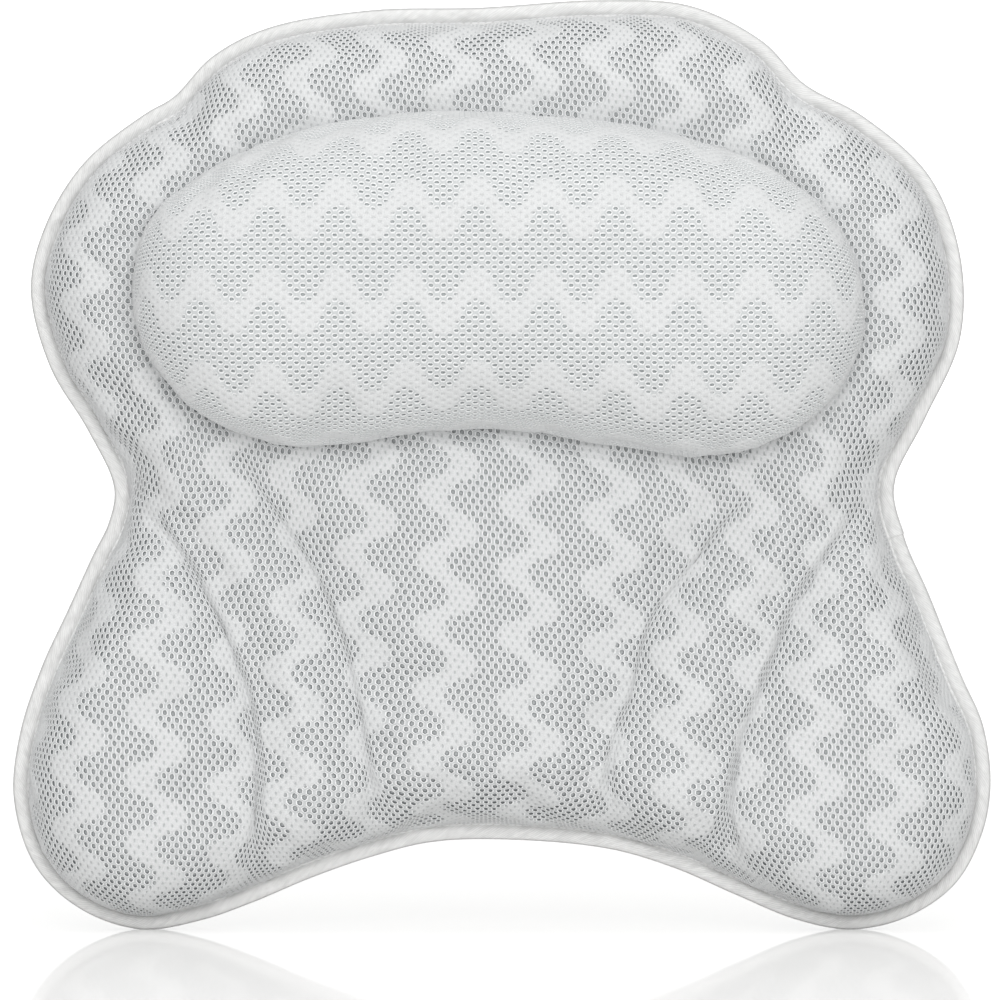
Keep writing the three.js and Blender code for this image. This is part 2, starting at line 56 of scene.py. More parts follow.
mm = 0.001
floorLevel = cadLow.z
closeBy = mm / 100
leastGap = 1e-9
leastNormal = 1e-12

bpy.context.scene.view_settings.view_transform = "Standard"


# Small helpers for node trees and meshes

def addNode(tree, kind, given=None, **settings):
    node = tree.nodes.new(kind)
    for key, value in settings.items():
        setattr(node, key, value)
    for key, value in (given or {}).items():
        if isinstance(value, bpy.types.NodeSocket):
            tree.links.new(value, node.inputs[key])
        else:
            node.inputs[key].default_value = value
    return node


def maths(tree, how, *values):
    return addNode(tree, "ShaderNodeMath", dict(enumerate(values)), operation=how).outputs[0]


def vectorMaths(tree, how, *values):
    return addNode(tree, "ShaderNodeVectorMath", dict(enumerate(values)), operation=how).outputs[0]


def scaled(tree, vector, factor):
    return addNode(tree, "ShaderNodeVectorMath", {0: vector, "Scale": factor}, operation="SCALE").outputs[0]


def startTree(name, wanted):
    tree = bpy.data.node_groups.new(name, "GeometryNodeTree")
    for label, kind in wanted.items():
        tree.interface.new_socket(name=label, in_out="INPUT", socket_type="NodeSocket" + kind)
    tree.interface.new_socket(name="Mesh", in_out="OUTPUT", socket_type="NodeSocketGeometry")
    return tree, tree.nodes.new("NodeGroupInput").outputs


def endTree(tree, geometry, material):
    real = addNode(tree, "GeometryNodeRealizeInstances", {0: geometry}).outputs[0]
    painted = addNode(tree, "GeometryNodeSetMaterial", {"Geometry": real, "Material": material}).outputs[0]
    addNode(tree, "NodeGroupOutput", {0: painted})


# Runs a tree with its inputs by name and leaves a plain mesh
def grow(name, tree, values):
    holder = bpy.data.objects.new(name + "_holder", bpy.data.meshes.new(name + "_holder"))
    bpy.context.scene.collection.objects.link(holder)
    modifier = holder.modifiers.new("grow", "NODES")
    modifier.node_group = tree
    for item in tree.interface.items_tree:
        if item.in_out == "INPUT":
            modifier[item.identifier] = values[item.name]
    graph = bpy.context.evaluated_depsgraph_get()
    mesh = bpy.data.meshes.new_from_object(holder.evaluated_get(graph), depsgraph=graph)
    bpy.data.objects.remove(holder)
    return newPiece(name, mesh)


def newPiece(name, mesh):
    mesh.name = name
    piece = bpy.data.objects.new(name, mesh)
    bpy.context.scene.collection.objects.link(piece)
    return piece


def meshOf(name, points, faces):
    mesh = bpy.data.meshes.new(name)
    mesh.from_pydata(np.asarray(points, float).tolist(), [], faces)
    mesh.update()
    return mesh


# A piece's mesh opened for changes, and written back after them
@contextmanager
def edited(piece):
    bm = bmesh.new()
    bm.from_mesh(piece.data)
    yield bm
    bm.to_mesh(piece.data)
    bm.free()


def setAttribute(mesh, name, kind, values, field="value"):
    made = mesh.attributes.new(name, kind, "POINT")
    made.data.foreach_set(field, np.asarray(values, np.float32).ravel())


def gridFaces(rows, columns):
    return [
        (r * columns + c, r * columns + c + 1, (r + 1) * columns + c + 1, (r + 1) * columns + c)
        for r in range(rows - 1)
        for c in range(columns - 1)
    ]


# Outline shapes

pad = {
    "width": 400 * mm,
    "height": 380 * mm,
    "hemWidth": 6.7 * mm,
    "hemDepth": 29.4 * mm,
    "crownHeight": 33 * mm,
    "crownRun": 29 * mm,
    "innerDepth": 26.9 * mm,
    "backFlatDepth": 20 * mm,
    "backHemDepth": 24 * mm,
    "backInnerDepth": 26.5 * mm,
    "backRun": 14 * mm,
}

# Clockwise from the left waist, in shares of the pad
upperShares = [
    (-0.396, -0.024), (-0.423, 0.038), (-0.461, 0.105), (-0.481, 0.189), (-0.466, 0.258), (-0.426, 0.326),
    (-0.364, 0.378), (-0.335, 0.396), (-0.296, 0.439), (-0.239, 0.47), (-0.135, 0.489), (-0.021, 0.492),
    (0.1, 0.5), (0.192, 0.494), (0.266, 0.456), (0.309, 0.41), (0.368, 0.376), (0.436, 0.312),
    (0.468, 0.227), (0.468, 0.135), (0.432, 0.049),
]
rightLobeShares = [
    (0.401, -0.022), (0.412, -0.079), (0.436, -0.137), (0.47, -0.226), (0.492, -0.279), (0.5, -0.343),
    (0.491, -0.398), (0.463, -0.452), (0.412, -0.488), (0.356, -0.5), (0.3, -0.489),
]
bottomShares = [
    (0.238, -0.462), (0.177, -0.434), (0.109, -0.413), (0.001, -0.403),
    (-0.073, -0.406), (-0.131, -0.421), (-0.194, -0.444),
]
leftLobeShares = [
    (-0.255, -0.471), (-0.307, -0.49), (-0.369, -0.5), (-0.431, -0.478), (-0.477, -0.432), (-0.499, -0.36),
    (-0.493, -0.29), (-0.47, -0.216), (-0.444, -0.157), (-0.418, -0.097), (-0.401, -0.06),
]

# Channel seams from their upper to their lower end
seamShares = {
    "outerLeft": [(-0.385, -0.03), (-0.344, -0.069), (-0.29, -0.158), (-0.262, -0.236), (-0.25, -0.319),
                  (-0.252, -0.392), (-0.25, -0.452)],
    "innerLeft": [(-0.283, 0.054), (-0.261, 0.007), (-0.221, -0.059), (-0.182, -0.125), (-0.155, -0.204),
                  (-0.138, -0.294), (-0.131, -0.36), (-0.131, -0.402)],
    "innerRight": [(0.279, 0.027), (0.25, -0.026), (0.22, -0.065), (0.181, -0.12), (0.151, -0.166),
                   (0.131, -0.242), (0.112, -0.306), (0.109, -0.36), (0.109, -0.394)],
    "outerRight": [(0.388, -0.026), (0.35, -0.065), (0.298, -0.149), (0.266, -0.231), (0.242, -0.3),
                   (0.232, -0.376), (0.234, -0.443)],
}

roll = {
    "middle": (-0.004, 0.198),
    "width": 293.5 * mm,
    "tall": 140.5 * mm,
    "height": 41 * mm,
    "footDepth": 62.7 * mm,
    "tuck": 6 * mm,
    "widest": 7 * mm,
    "crownRun": 50 * mm,
}
rollShares = [
    (-0.5, 0.024), (-0.475, 0.199), (-0.421, 0.298), (-0.331, 0.402), (-0.202, 0.475), (-0.066, 0.5),
    (0.068, 0.484), (0.194, 0.455), (0.314, 0.382), (0.406, 0.292), (0.467, 0.17), (0.5, -0.011),
    (0.495, -0.206), (0.452, -0.354), (0.361, -0.471), (0.269, -0.5), (0.145, -0.468), (0.008, -0.424),
    (-0.083, -0.43), (-0.202, -0.462), (-0.311, -0.462), (-0.406, -0.381), (-0.467, -0.258), (-0.495, -0.124),
]

curveSteps = 8


def smoothCurve(points, closed):
    points = np.array(points, float)
    if closed:
        around = np.vstack([points[-1:], points, points[:2]])
    else:
        around = np.vstack([2 * points[0] - points[1], points, 2 * points[-1] - points[-2]])
    t = np.linspace(0, 1, curveSteps, endpoint=False)[:, None]
    found = []
    for p0, p1, p2, p3 in zip(around, around[1:], around[2:], around[3:]):
        g0, g1, g2 = (np.linalg.norm(b - a) ** 0.5 for a, b in ((p0, p1), (p1, p2), (p2, p3)))
        leave = ((p1 - p0) / g0 - (p2 - p0) / (g0 + g1) + (p2 - p1) / g1) * g1
        arrive = ((p2 - p1) / g1 - (p3 - p1) / (g1 + g2) + (p3 - p2) / g2) * g1
        bend = -3 * p1 + 3 * p2 - 2 * leave - arrive
        twist = 2 * p1 - 2 * p2 + leave + arrive
        found.append(p1 + leave * t + bend * t**2 + twist * t**3)
    return np.vstack(found if closed else [*found, points[-1:]])


padSize = np.array([pad["width"], pad["height"]])
outline = smoothCurve(np.array(upperShares + rightLobeShares + bottomShares + leftLobeShares) * padSize, True)
seams = {name: smoothCurve(np.array(shares) * padSize, False) for name, shares in seamShares.items()}
rollMiddle = np.array(roll["middle"]) * padSize
rollOutline = smoothCurve(rollMiddle + np.array(rollShares) * [roll["width"], roll["tall"]], True)


placesAtOnce = 4000


# Nearest point of a line to each place: the point, its distance and its share of the line's length
def nearestOn(line, places, closed):
    starts = line if closed else line[:-1]
    spans = (np.roll(line, -1, 0) if closed else line[1:]) - starts
    lengths = np.linalg.norm(spans, axis=1)
    before = np.concatenate([[0], np.cumsum(lengths)])[:-1]
    points, gaps, shares = [], [], []
    for some in np.array_split(places, max(len(places) // placesAtOnce, 1)):
        along = (((some[:, None] - starts) * spans).sum(-1) / lengths**2).clip(0, 1)
        near = starts + along[..., None] * spans
        distance = np.linalg.norm(some[:, None] - near, axis=-1)
        best = distance.argmin(1)
        rows = np.arange(len(some))
        points.append(near[rows, best])
        gaps.append(distance[rows, best])
        shares.append((before[best] + along[rows, best] * lengths[best]) / lengths.sum())
    return np.vstack(points), np.concatenate(gaps), np.concatenate(shares)


def isInside(line, places):
    x, z = places.T
    inside = np.zeros(len(places), bool)
    for (ax, az), (bx, bz) in zip(line, np.roll(line, -1, 0)):
        if az != bz:
            crosses = ((az > z) != (bz > z)) & (x < (bx - ax) * (z - az) / (bz - az) + ax)
            inside ^= crosses
    return inside


def smoothstep(x, low, high):
    t = np.clip((x - low) / (high - low), 0, 1)
    return t * t * (3 - 2 * t)


# Smooth noise between about -1 and 1
def wobble(x, y, scale, seed):
    found = [noise.noise(Vector((a / scale, b / scale, seed))) for a, b in zip(x.ravel(), y.ravel())]
    return np.array(found).reshape(x.shape)


# A sewn sheet of fabric: flat coordinates on a grid, and where each grid point lies on the cushion.
# profile gives the way in from the edge line and the height for a length of fabric from that line.
def sewnSheet(line, edgeIn, profile, size, middle, turned, step, easedIn=None):
    columns, rows = (int(round(s / step)) + 1 for s in size)
    u, v = ((np.arange(count) - (count - 1) / 2) * step for count in (columns, rows))
    v, u = np.meshgrid(v, u, indexing="ij")
    flat = np.stack([u.ravel(), v.ravel()], 1)
    places = middle + flat @ np.array(turned)
    if easedIn:
        places[:, 0] -= np.sign(u.ravel()) * easedIn(np.abs(places[:, 0]), places[:, 1])
    near, gap, share = nearestOn(line, places, True)
    side = np.where(isInside(line, places), 1.0, -1.0)
    inward = (places - near) / np.maximum(gap, leastGap)[:, None] * side[:, None]
    extra = profile["length"][-1] - profile["way"][-1]
    length = gap * side - edgeIn + extra
    way = np.interp(length, profile["length"], profile["way"])
    way = np.where(length > profile["length"][-1], length - extra, way)
    way = np.where(length < 0, profile["way"][0] + profile["outwards"] * length, way)
    height = np.interp(length, profile["length"], profile["height"])
    plan = places + inward * (way + edgeIn - gap * side)[:, None]
    return {
        "shape": (rows, columns), "size": ((columns - 1) * step, (rows - 1) * step), "step": step,
        "flat": flat, "plan": plan, "height": height, "length": length, "way": way, "share": share,
    }


crownSteps = 60


# Quarter of an ellipse from a steep edge to a level top, and where it starts under the cushion, the run
# before it. Near the edge the fabric is crowded: more of it lies on each stretch.
def crownProfile(run, height, crowding, under=None):
    turns = np.linspace(0, math.pi / 2, crownSteps)
    way, rise = run * (1 - np.cos(turns)), height * np.sin(turns)
    outwards = 1
    if under:
        outwards = -1
        tuck, lift = under
        underWay, underRise = tuck * (1 - np.sin(turns)), lift * (1 - np.cos(turns))
        way = np.concatenate([underWay[:-1], way])
        rise = np.concatenate([underRise[:-1], rise + lift])
    steps = np.hypot(np.diff(way), np.diff(rise))
    shape = np.concatenate([[0], np.cumsum(steps)])
    near = np.exp(-(((shape[1:] + shape[:-1]) / 2 - crowding["at"]) / crowding["reach"]) ** 2)
    length = np.concatenate([[0], np.cumsum(steps * (1 + crowding["share"] * near))])
    return {"way": way, "height": rise, "length": length, "outwards": outwards}


# Seams pull the front down into soft channels, sharper at the stitches
channel = {
    "bowlShare": 0.2,
    "bowlHalfWidth": 24 * mm,
    "creaseShare": 0.05,
    "steepHalfWidth": 3.5 * mm,
    "shallowHalfWidth": 8 * mm,
    "fadeShares": {"outerLeft": 0.1, "innerLeft": 0.3, "innerRight": 0.3, "outerRight": 0.1},
    "gathers": {"outerLeft": 6 * mm, "innerLeft": 4.4 * mm, "innerRight": 4.4 * mm, "outerRight": 6 * mm},
    "gatherReach": 9 * mm,
    "gatherMost": 0.7,
    "shallowGather": 0.6,
    "endGatherShare": 0.6,
    "endGatherFrom": 0.6,
    "sideBlend": 0.3,
}


# The side towards the pad's middle is the steep one
def seamDips(plan):
    keep = np.ones(len(plan))
    pull = np.zeros_like(plan)
    for name, line in seams.items():
        near, gap, share = nearestOn(line, plan, False)
        away = (plan - near) / np.maximum(gap, leastGap)[:, None]
        fade = smoothstep(share, 0, channel["fadeShares"][name])
        bowl = (1 - np.minimum(gap / channel["bowlHalfWidth"], 1) ** 2) ** 2
        steep = smoothstep(-away[:, 0] * np.sign(near[:, 0]), -channel["sideBlend"], channel["sideBlend"])
        narrowing = channel["steepHalfWidth"] - channel["shallowHalfWidth"]
        halfWidth = channel["shallowHalfWidth"] + narrowing * steep
        crease = np.exp(-gap / halfWidth - (gap / halfWidth) ** 2)
        keep *= 1 - fade * (channel["bowlShare"] * bowl + channel["creaseShare"] * crease)
        reach = gap / channel["gatherReach"]
        gather = reach * np.exp(1 - reach) * channel["gathers"][name]
        gather *= fade * (1 + channel["endGatherShare"] * smoothstep(share, channel["endGatherFrom"], 1))
        gather *= channel["shallowGather"] + (1 - channel["shallowGather"]) * steep
        pull -= away * np.minimum(gather, channel["gatherMost"] * gap)[:, None]
    return keep, pull


def depthPoints(plan, depth):
    return np.stack([plan[:, 0], 0 * plan[:, 0] - depth, plan[:, 1]], 1)


def sheetNormals(points, shape):
    grid = points.reshape(*shape, 3)
    alongU = np.gradient(grid, axis=1)
    alongV = np.gradient(grid, axis=0)
    normal = np.cross(alongU, alongV)
    normal /= np.maximum(np.linalg.norm(normal, axis=-1, keepdims=True), leastNormal)
    return normal.reshape(-1, 3)


def blurred(values, shape, radius):
    grid = values.reshape(*shape, -1)
    reach = np.arange(-2 * radius, 2 * radius + 1)
    weights = np.exp(-((reach / radius) ** 2))
    weights /= weights.sum()
    for axis in (0, 1):
        first, last = (np.take(grid, [end] * 2 * radius, axis) for end in (0, -1))
        padded = np.concatenate([first, grid, last], axis)
        places = np.arange(grid.shape[axis])
        grid = sum(w * np.take(padded, places + i, axis) for i, w in enumerate(weights))
    return grid.reshape(values.shape)


print("outlines ready")


# Cloth run on a coarse copy of a sheet, held at its edge and seams, that puffs it up between them
puff = {
    "stride": 4,
    "pressure": 4.0,
    "frames": 20,
    "tension": 8.0,
    "bending": 0.5,
    "spareCloth": 0.02,
}


def puffed(sheet, points, held, cap):
    stride = puff["stride"]
    rows, columns = sheet["shape"]
    picked = np.arange(rows * columns).reshape(rows, columns)[::stride, ::stride]
    inUse = sheet["length"][picked.ravel()] > -stride * sheet["step"]
    faces = [f for f in gridFaces(*picked.shape) if inUse[list(f)].all()]
    coarse = points[picked.ravel()]
    cloth = newPiece("puff", meshOf("puff", coarse, faces))
    group = cloth.vertex_groups.new(name="held")
    strength = np.where(inUse, held[picked.ravel()], 1)
    for i in np.flatnonzero(strength > 0):
        group.add([int(i)], float(strength[i]), "REPLACE")
    modifier = cloth.modifiers.new("cloth", "CLOTH")
    modifier.point_cache.frame_end = puff["frames"]
    settings = modifier.settings
    settings.vertex_group_mass = group.name
    settings.use_pressure = True
    settings.uniform_pressure_force = puff["pressure"]
    settings.tension_stiffness = settings.compression_stiffness = puff["tension"]
    settings.bending_stiffness = puff["bending"]
    settings.shrink_min = -puff["spareCloth"]
    settings.effector_weights.gravity = 0
    for count in range(1, puff["frames"] + 1):
        bpy.context.scene.frame_set(count)
    graph = bpy.context.evaluated_depsgraph_get()
    result = cloth.evaluated_get(graph).to_mesh()
    ends = np.zeros(len(coarse) * 3)
    result.vertices.foreach_get("co", ends)
    moved = ends.reshape(-1, 3) - coarse
    bpy.data.objects.remove(cloth)
    bpy.context.scene.frame_set(1)
    moved[~inUse] = 0
    far = np.linalg.norm(moved, axis=1, keepdims=True)
    print("  the cloth moved by up to", round(float(far.max() / mm), 1), "mm, of which", cap / mm, "is kept")
    moved *= cap * np.tanh(far / cap) / np.maximum(far, leastGap)
    grid = moved.reshape(*picked.shape, 3)
    for axis, count in enumerate(sheet["shape"]):
        place = np.minimum(np.arange(count) / stride, grid.shape[axis] - 1)
        before = np.minimum(place.astype(int), grid.shape[axis] - 2)
        share = (place - before).reshape([-1 if a == axis else 1 for a in range(3)])
        grid = np.take(grid, before, axis) * (1 - share) + np.take(grid, before + 1, axis) * share
    return blurred(grid.reshape(-1, 3), sheet["shape"], stride // 2)


# The carrier is the sheet laid flat, with each point's place and outward direction on the cushion
def carrierOf(name, sheet, points, margin):
    flat = np.hstack([sheet["flat"], np.zeros((len(points), 1))])
    mesh = meshOf(name, flat, gridFaces(*sheet["shape"]))
    setAttribute(mesh, "place", "FLOAT_VECTOR", points, "vector")
    setAttribute(mesh, "lift", "FLOAT_VECTOR", sheetNormals(points, sheet["shape"]), "vector")
    setAttribute(mesh, "spare", "FLOAT", sheet["length"] + margin)
    return newPiece(name, mesh)


# One mesh cell: a hexagon round a hole, as rings of six, the last one the hole's floor
cellTile = {"rimShares": (0.5, 0.72), "floorShares": (0.33, 0.5)}


def makeCell():
    corners = np.array([
        (0, 2 / 3), (-1 / 2, 1 / 3), (-1 / 2, -1 / 3), (0, -2 / 3), (1 / 2, -1 / 3), (1 / 2, 1 / 3),
    ])
    rings = [corners, corners * cellTile["rimShares"], corners * cellTile["floorShares"]]
    count = len(corners)
    faces = [
        (k * count + i, k * count + (i + 1) % count, (k + 1) * count + (i + 1) % count, (k + 1) * count + i)
        for k in range(len(rings) - 1)
        for i in range(count)
    ]
    faces.append(tuple(range((len(rings) - 1) * count, len(rings) * count)))
    points = np.hstack([np.vstack(rings), np.zeros((len(rings) * count, 1))])
    mesh = meshOf("cell", points, faces)
    setAttribute(mesh, "ring", "FLOAT", np.repeat(np.arange(len(rings)), count))
    return newPiece("cell", mesh)


# Values that hold for every air mesh: the zigzag's blunt turns and soft edges, how the holes close in a
# band, how near corners join, and how the sheet and its closed edge fill their map
zigzagBluntness = 1.35
bandEdge = 1.1 * mm
bandHoleShare = 0.2
bandNarrowing = (1.0, 0.35, 0.0)
joinShare = 0.02
mapShare = 0.86
mapGap = 0.01
mapReachShare = 1.1


def airMeshTree():
    tree, given = startTree("airMesh", {
        "Carrier": "Object", "Cell": "Object", "Columns": "Int", "Rows": "Int",
        "Cell width": "Float", "Row step": "Float", "Hole depth": "Float", "Rim lift": "Float",
        "Sheet width": "Float", "Sheet height": "Float",
        "Band pitch": "Float", "Band period": "Float", "Band swing": "Float", "Band thickness": "Float",
        "Band across": "Float", "Band along": "Float", "Band lift": "Float",
        "Closing": "Float", "Band closing": "Float", "Unevenness": "Float", "Noise scale": "Float",
        "Material": "Material",
    })

    def named(label, kind="FLOAT"):
        return addNode(tree, "GeometryNodeInputNamedAttribute", {"Name": label}, data_type=kind).outputs[0]

    def store(geometry, label, value, kind="FLOAT", domain="POINT"):
        wanted = {"Geometry": geometry, "Name": label, "Value": value}
        node = addNode(tree, "GeometryNodeStoreNamedAttribute", wanted, data_type=kind, domain=domain)
        return node.outputs[0]

    def vector(x=0.0, y=0.0, z=0.0):
        return addNode(tree, "ShaderNodeCombineXYZ", {0: x, 1: y, 2: z}).outputs[0]

    position = tree.nodes.new("GeometryNodeInputPosition").outputs[0]
    sheetSize = vector(given["Sheet width"], given["Sheet height"], 1.0)
    onSheet = vectorMaths(tree, "ADD", vectorMaths(tree, "DIVIDE", position, sheetSize), (0.5, 0.5, 0))
    carrier = addNode(tree, "GeometryNodeObjectInfo", {"Object": given["Carrier"]}).outputs["Geometry"]

    def sampled(label, kind="FLOAT"):
        wanted = {"Mesh": carrier, "Value": named(label, kind), "UV Map": onSheet, "Sample UV": onSheet}
        return addNode(tree, "GeometryNodeSampleUVSurface", wanted, data_type=kind).outputs[0]

    # A zigzag band is where a wave with blunt turns passes, once in each pitch
    def bandAt(place):
        parts = addNode(tree, "ShaderNodeSeparateXYZ", {0: place}).outputs
        along = maths(tree, "SUBTRACT", parts[1], given["Band along"])
        turn = maths(tree, "MULTIPLY", maths(tree, "DIVIDE", along, given["Band period"]), 2 * math.pi)
        wave = maths(tree, "TANH", maths(tree, "MULTIPLY", maths(tree, "COSINE", turn), zigzagBluntness))
        wave = maths(tree, "DIVIDE", wave, 2 * math.tanh(zigzagBluntness))
        across = maths(tree, "SUBTRACT", parts[0], given["Band across"])
        across = maths(tree, "SUBTRACT", across, maths(tree, "MULTIPLY", wave, given["Band swing"]))
        off = maths(tree, "PINGPONG", across, maths(tree, "DIVIDE", given["Band pitch"], 2.0))
        inside = maths(tree, "SUBTRACT", maths(tree, "DIVIDE", given["Band thickness"], 2.0), off)
        wanted = {0: inside, 1: -bandEdge, 2: bandEdge}
        return addNode(tree, "ShaderNodeMapRange", wanted, interpolation_type="SMOOTHSTEP").outputs[0]

    # Cell places, every other row set over by half a cell
    grid = addNode(tree, "GeometryNodeMeshGrid", {
        0: maths(tree, "MULTIPLY", maths(tree, "SUBTRACT", given["Columns"], 1.0), given["Cell width"]),
        1: maths(tree, "MULTIPLY", maths(tree, "SUBTRACT", given["Rows"], 1.0), given["Row step"]),
        2: given["Columns"],
        3: given["Rows"],
    }).outputs[0]
    rowPlace = addNode(tree, "ShaderNodeSeparateXYZ", {0: position}).outputs[1]
    firstRow = maths(tree, "DIVIDE", maths(tree, "SUBTRACT", given["Rows"], 1.0), 2.0)
    row = maths(tree, "ADD", maths(tree, "DIVIDE", rowPlace, given["Row step"]), firstRow)
    odd = maths(tree, "FLOORED_MODULO", maths(tree, "ROUND", row), 2.0)
    over = maths(tree, "MULTIPLY", odd, maths(tree, "DIVIDE", given["Cell width"], 2.0))
    points = addNode(tree, "GeometryNodeSetPosition", {"Geometry": grid, "Offset": vector(over)}).outputs[0]
    outside = maths(tree, "LESS_THAN", sampled("spare"), 0.0)
    wanted = {"Geometry": points, "Selection": outside}
    points = addNode(tree, "GeometryNodeDeleteGeometry", wanted).outputs[0]
    points = store(points, "cell", position, "FLOAT_VECTOR")

    # A hexagon on each place, joined at the corners
    tile = addNode(tree, "GeometryNodeObjectInfo", {"Object": given["Cell"]}).outputs["Geometry"]
    tileSize = vector(given["Cell width"], given["Row step"], 1.0)
    wanted = {"Points": points, "Instance": tile, "Scale": tileSize}
    cells = addNode(tree, "GeometryNodeInstanceOnPoints", wanted).outputs[0]
    cells = addNode(tree, "GeometryNodeRealizeInstances", {0: cells}).outputs[0]
    wanted = {"Geometry": cells, "Distance": maths(tree, "MULTIPLY", given["Cell width"], joinShare)}
    cells = addNode(tree, "GeometryNodeMergeByDistance", wanted).outputs[0]
    cells = store(cells, "band", bandAt(position))

    # Holes are deep between the bands and nearly closed in them
    ring, band = named("ring"), named("band")
    atRim = maths(tree, "MINIMUM", ring, 1.0)
    atFloor = maths(tree, "MAXIMUM", maths(tree, "SUBTRACT", ring, 1.0), 0.0)
    wanted = {0: band, 2: given["Closing"], 3: given["Band closing"]}
    closing = maths(tree, "MULTIPLY", addNode(tree, "ShaderNodeMix", wanted).outputs[0], atRim)
    inwards = scaled(tree, vectorMaths(tree, "SUBTRACT", named("cell", "FLOAT_VECTOR"), position), closing)
    inwards = vectorMaths(tree, "MULTIPLY", inwards, bandNarrowing)
    openShare = maths(tree, "SUBTRACT", 1.0, maths(tree, "MULTIPLY", band, 1 - bandHoleShare))
    sink = maths(tree, "MULTIPLY", maths(tree, "MULTIPLY", atFloor, given["Hole depth"]), openShare)
    rise = maths(tree, "MULTIPLY", maths(tree, "SUBTRACT", atRim, atFloor), given["Rim lift"])
    rise = maths(tree, "ADD", rise, maths(tree, "MULTIPLY", band, given["Band lift"]))
    cells = store(cells, "height", maths(tree, "SUBTRACT", rise, sink))
    wanted = {"Vector": position, "Scale": given["Noise scale"]}
    stray = addNode(tree, "ShaderNodeTexNoise", wanted).outputs["Color"]
    stray = scaled(tree, vectorMaths(tree, "SUBTRACT", stray, (0.5, 0.5, 0.5)), given["Unevenness"])
    inwards = vectorMaths(tree, "ADD", inwards, vectorMaths(tree, "MULTIPLY", stray, (1, 1, 0)))
    cells = addNode(tree, "GeometryNodeSetPosition", {"Geometry": cells, "Offset": inwards}).outputs[0]
    cells = store(cells, "fabric", position, "FLOAT_VECTOR")
    cells = store(cells, "OFBake", scaled(tree, onSheet, mapShare), "FLOAT2", "CORNER")
    lifted = scaled(tree, sampled("lift", "FLOAT_VECTOR"), named("height"))
    placed = vectorMaths(tree, "ADD", sampled("place", "FLOAT_VECTOR"), lifted)
    cells = addNode(tree, "GeometryNodeSetPosition", {"Geometry": cells, "Position": placed}).outputs[0]
    cells = addNode(tree, "GeometryNodeSetShadeSmooth", {"Geometry": cells, "Shade Smooth": True}).outputs[0]
    endTree(tree, cells, given["Material"])
    return tree


# Closes a cover's open edge with a wall down to a depth and a cap there. The cap takes a spare corner
# of the cover's map, and the wall a spare strip.
def closeAt(piece, depth):
    middle, reach = (cadLow + cadHigh) / 2, (cadHigh - cadLow) / 2 * mapReachShare
    spareStart, spareShare = mapShare + mapGap, 1 - mapShare - 2 * mapGap
    with edited(piece) as bm:
        bmesh.ops.delete(bm, geom=[v for v in bm.verts if not v.link_faces], context="VERTS")
        before = set(bm.faces)
        made = bmesh.ops.extrude_edge_only(bm, edges=[e for e in bm.edges if e.is_boundary])["geom"]
        for v in made:
            if isinstance(v, bmesh.types.BMVert):
                v.co.y = -depth
        wallEnd = [e for e in made if isinstance(e, bmesh.types.BMEdge)]
        bmesh.ops.holes_fill(bm, edges=wallEnd, sides=0)
        caps = [f for f in bm.faces if f not in before and len(f.verts) > 4]
        capFaces = set(bmesh.ops.triangulate(bm, faces=caps)["faces"])
        bmesh.ops.recalc_face_normals(bm, faces=bm.faces)
        layer = bm.loops.layers.uv["OFBake"]
        for face in set(bm.faces) - before:
            for loop in face.loops:
                x, z = ((loop.vert.co[i] - middle[i]) / reach[i] / 2 + 0.5 for i in (0, 2))
                if face in capFaces:
                    loop[layer].uv = (spareStart + x * spareShare, spareStart + z * spareShare)
                else:
                    upperHalf = face.calc_center_median().z > middle.z
                    down = abs(loop.vert.co.y + depth) < closeBy
                    loop[layer].uv = (x * mapShare, mapShare + mapGap * (1 + 4 * upperHalf + 2 * down))


airMesh = airMeshTree()
cell = makeCell()
sheetStep = 1.4 * mm


def makeAirMesh(name, sheet, points, margin, look, material):
    carrier = carrierOf(name + "_carrier", sheet, points, margin)
    piece = grow(name, airMesh, {
        "Carrier": carrier, "Cell": cell,
        "Columns": int(sheet["size"][0] / look["cellWidth"]) - 1,
        "Rows": int(sheet["size"][1] / look["rowStep"]) - 1,
        "Cell width": look["cellWidth"], "Row step": look["rowStep"],
        "Hole depth": look["holeDepth"], "Rim lift": look["rimLift"],
        "Sheet width": sheet["size"][0], "Sheet height": sheet["size"][1],
        "Band pitch": look["bandPitch"], "Band period": look["bandPeriod"], "Band swing": look["bandSwing"],
        "Band thickness": look["bandThickness"],
        "Band across": look["bandAcross"], "Band along": look["bandAlong"], "Band lift": look["bandLift"],
        "Closing": look["closing"], "Band closing": look["bandClosing"], "Unevenness": look["unevenness"],
        "Noise scale": 1 / look["noiseSize"], "Material": material,
    })
    bpy.data.objects.remove(carrier)
    print(" ", name, len(piece.data.polygons), "faces")
    return piece


# Small helpers for materials

def startMaterial(name, sockets):
    material = bpy.data.materials.new(name)
    material.use_nodes = True
    tree = material.node_tree
    shader = tree.nodes["Principled BSDF"]
    for label, value in sockets.items():
        shader.inputs[label].default_value = value
    return material, tree, shader


def attributeOf(tree, name, output="Fac"):
    return addNode(tree, "ShaderNodeAttribute", attribute_name=name).outputs[output]


def noiseOf(tree, vector, scale):
    return addNode(tree, "ShaderNodeTexNoise", {"Vector": vector, "Scale": scale}).outputs["Fac"]


def rampOf(tree, factor, stops):
    node = addNode(tree, "ShaderNodeValToRGB", {0: factor})
    elements = node.color_ramp.elements
    for place, color in stops[2:]:
        elements.new(place)
    for element, (place, color) in zip(elements, sorted(stops, key=lambda stop: stop[0])):
        element.position = place
        element.color = (*color, 1)
    return node.outputs[0]


def mixOf(tree, factor, first, second, how="MIX"):
    node = addNode(tree, "ShaderNodeMix", {0: factor, 6: first, 7: second}, data_type="RGBA", blend_type=how)
    return node.outputs[2]


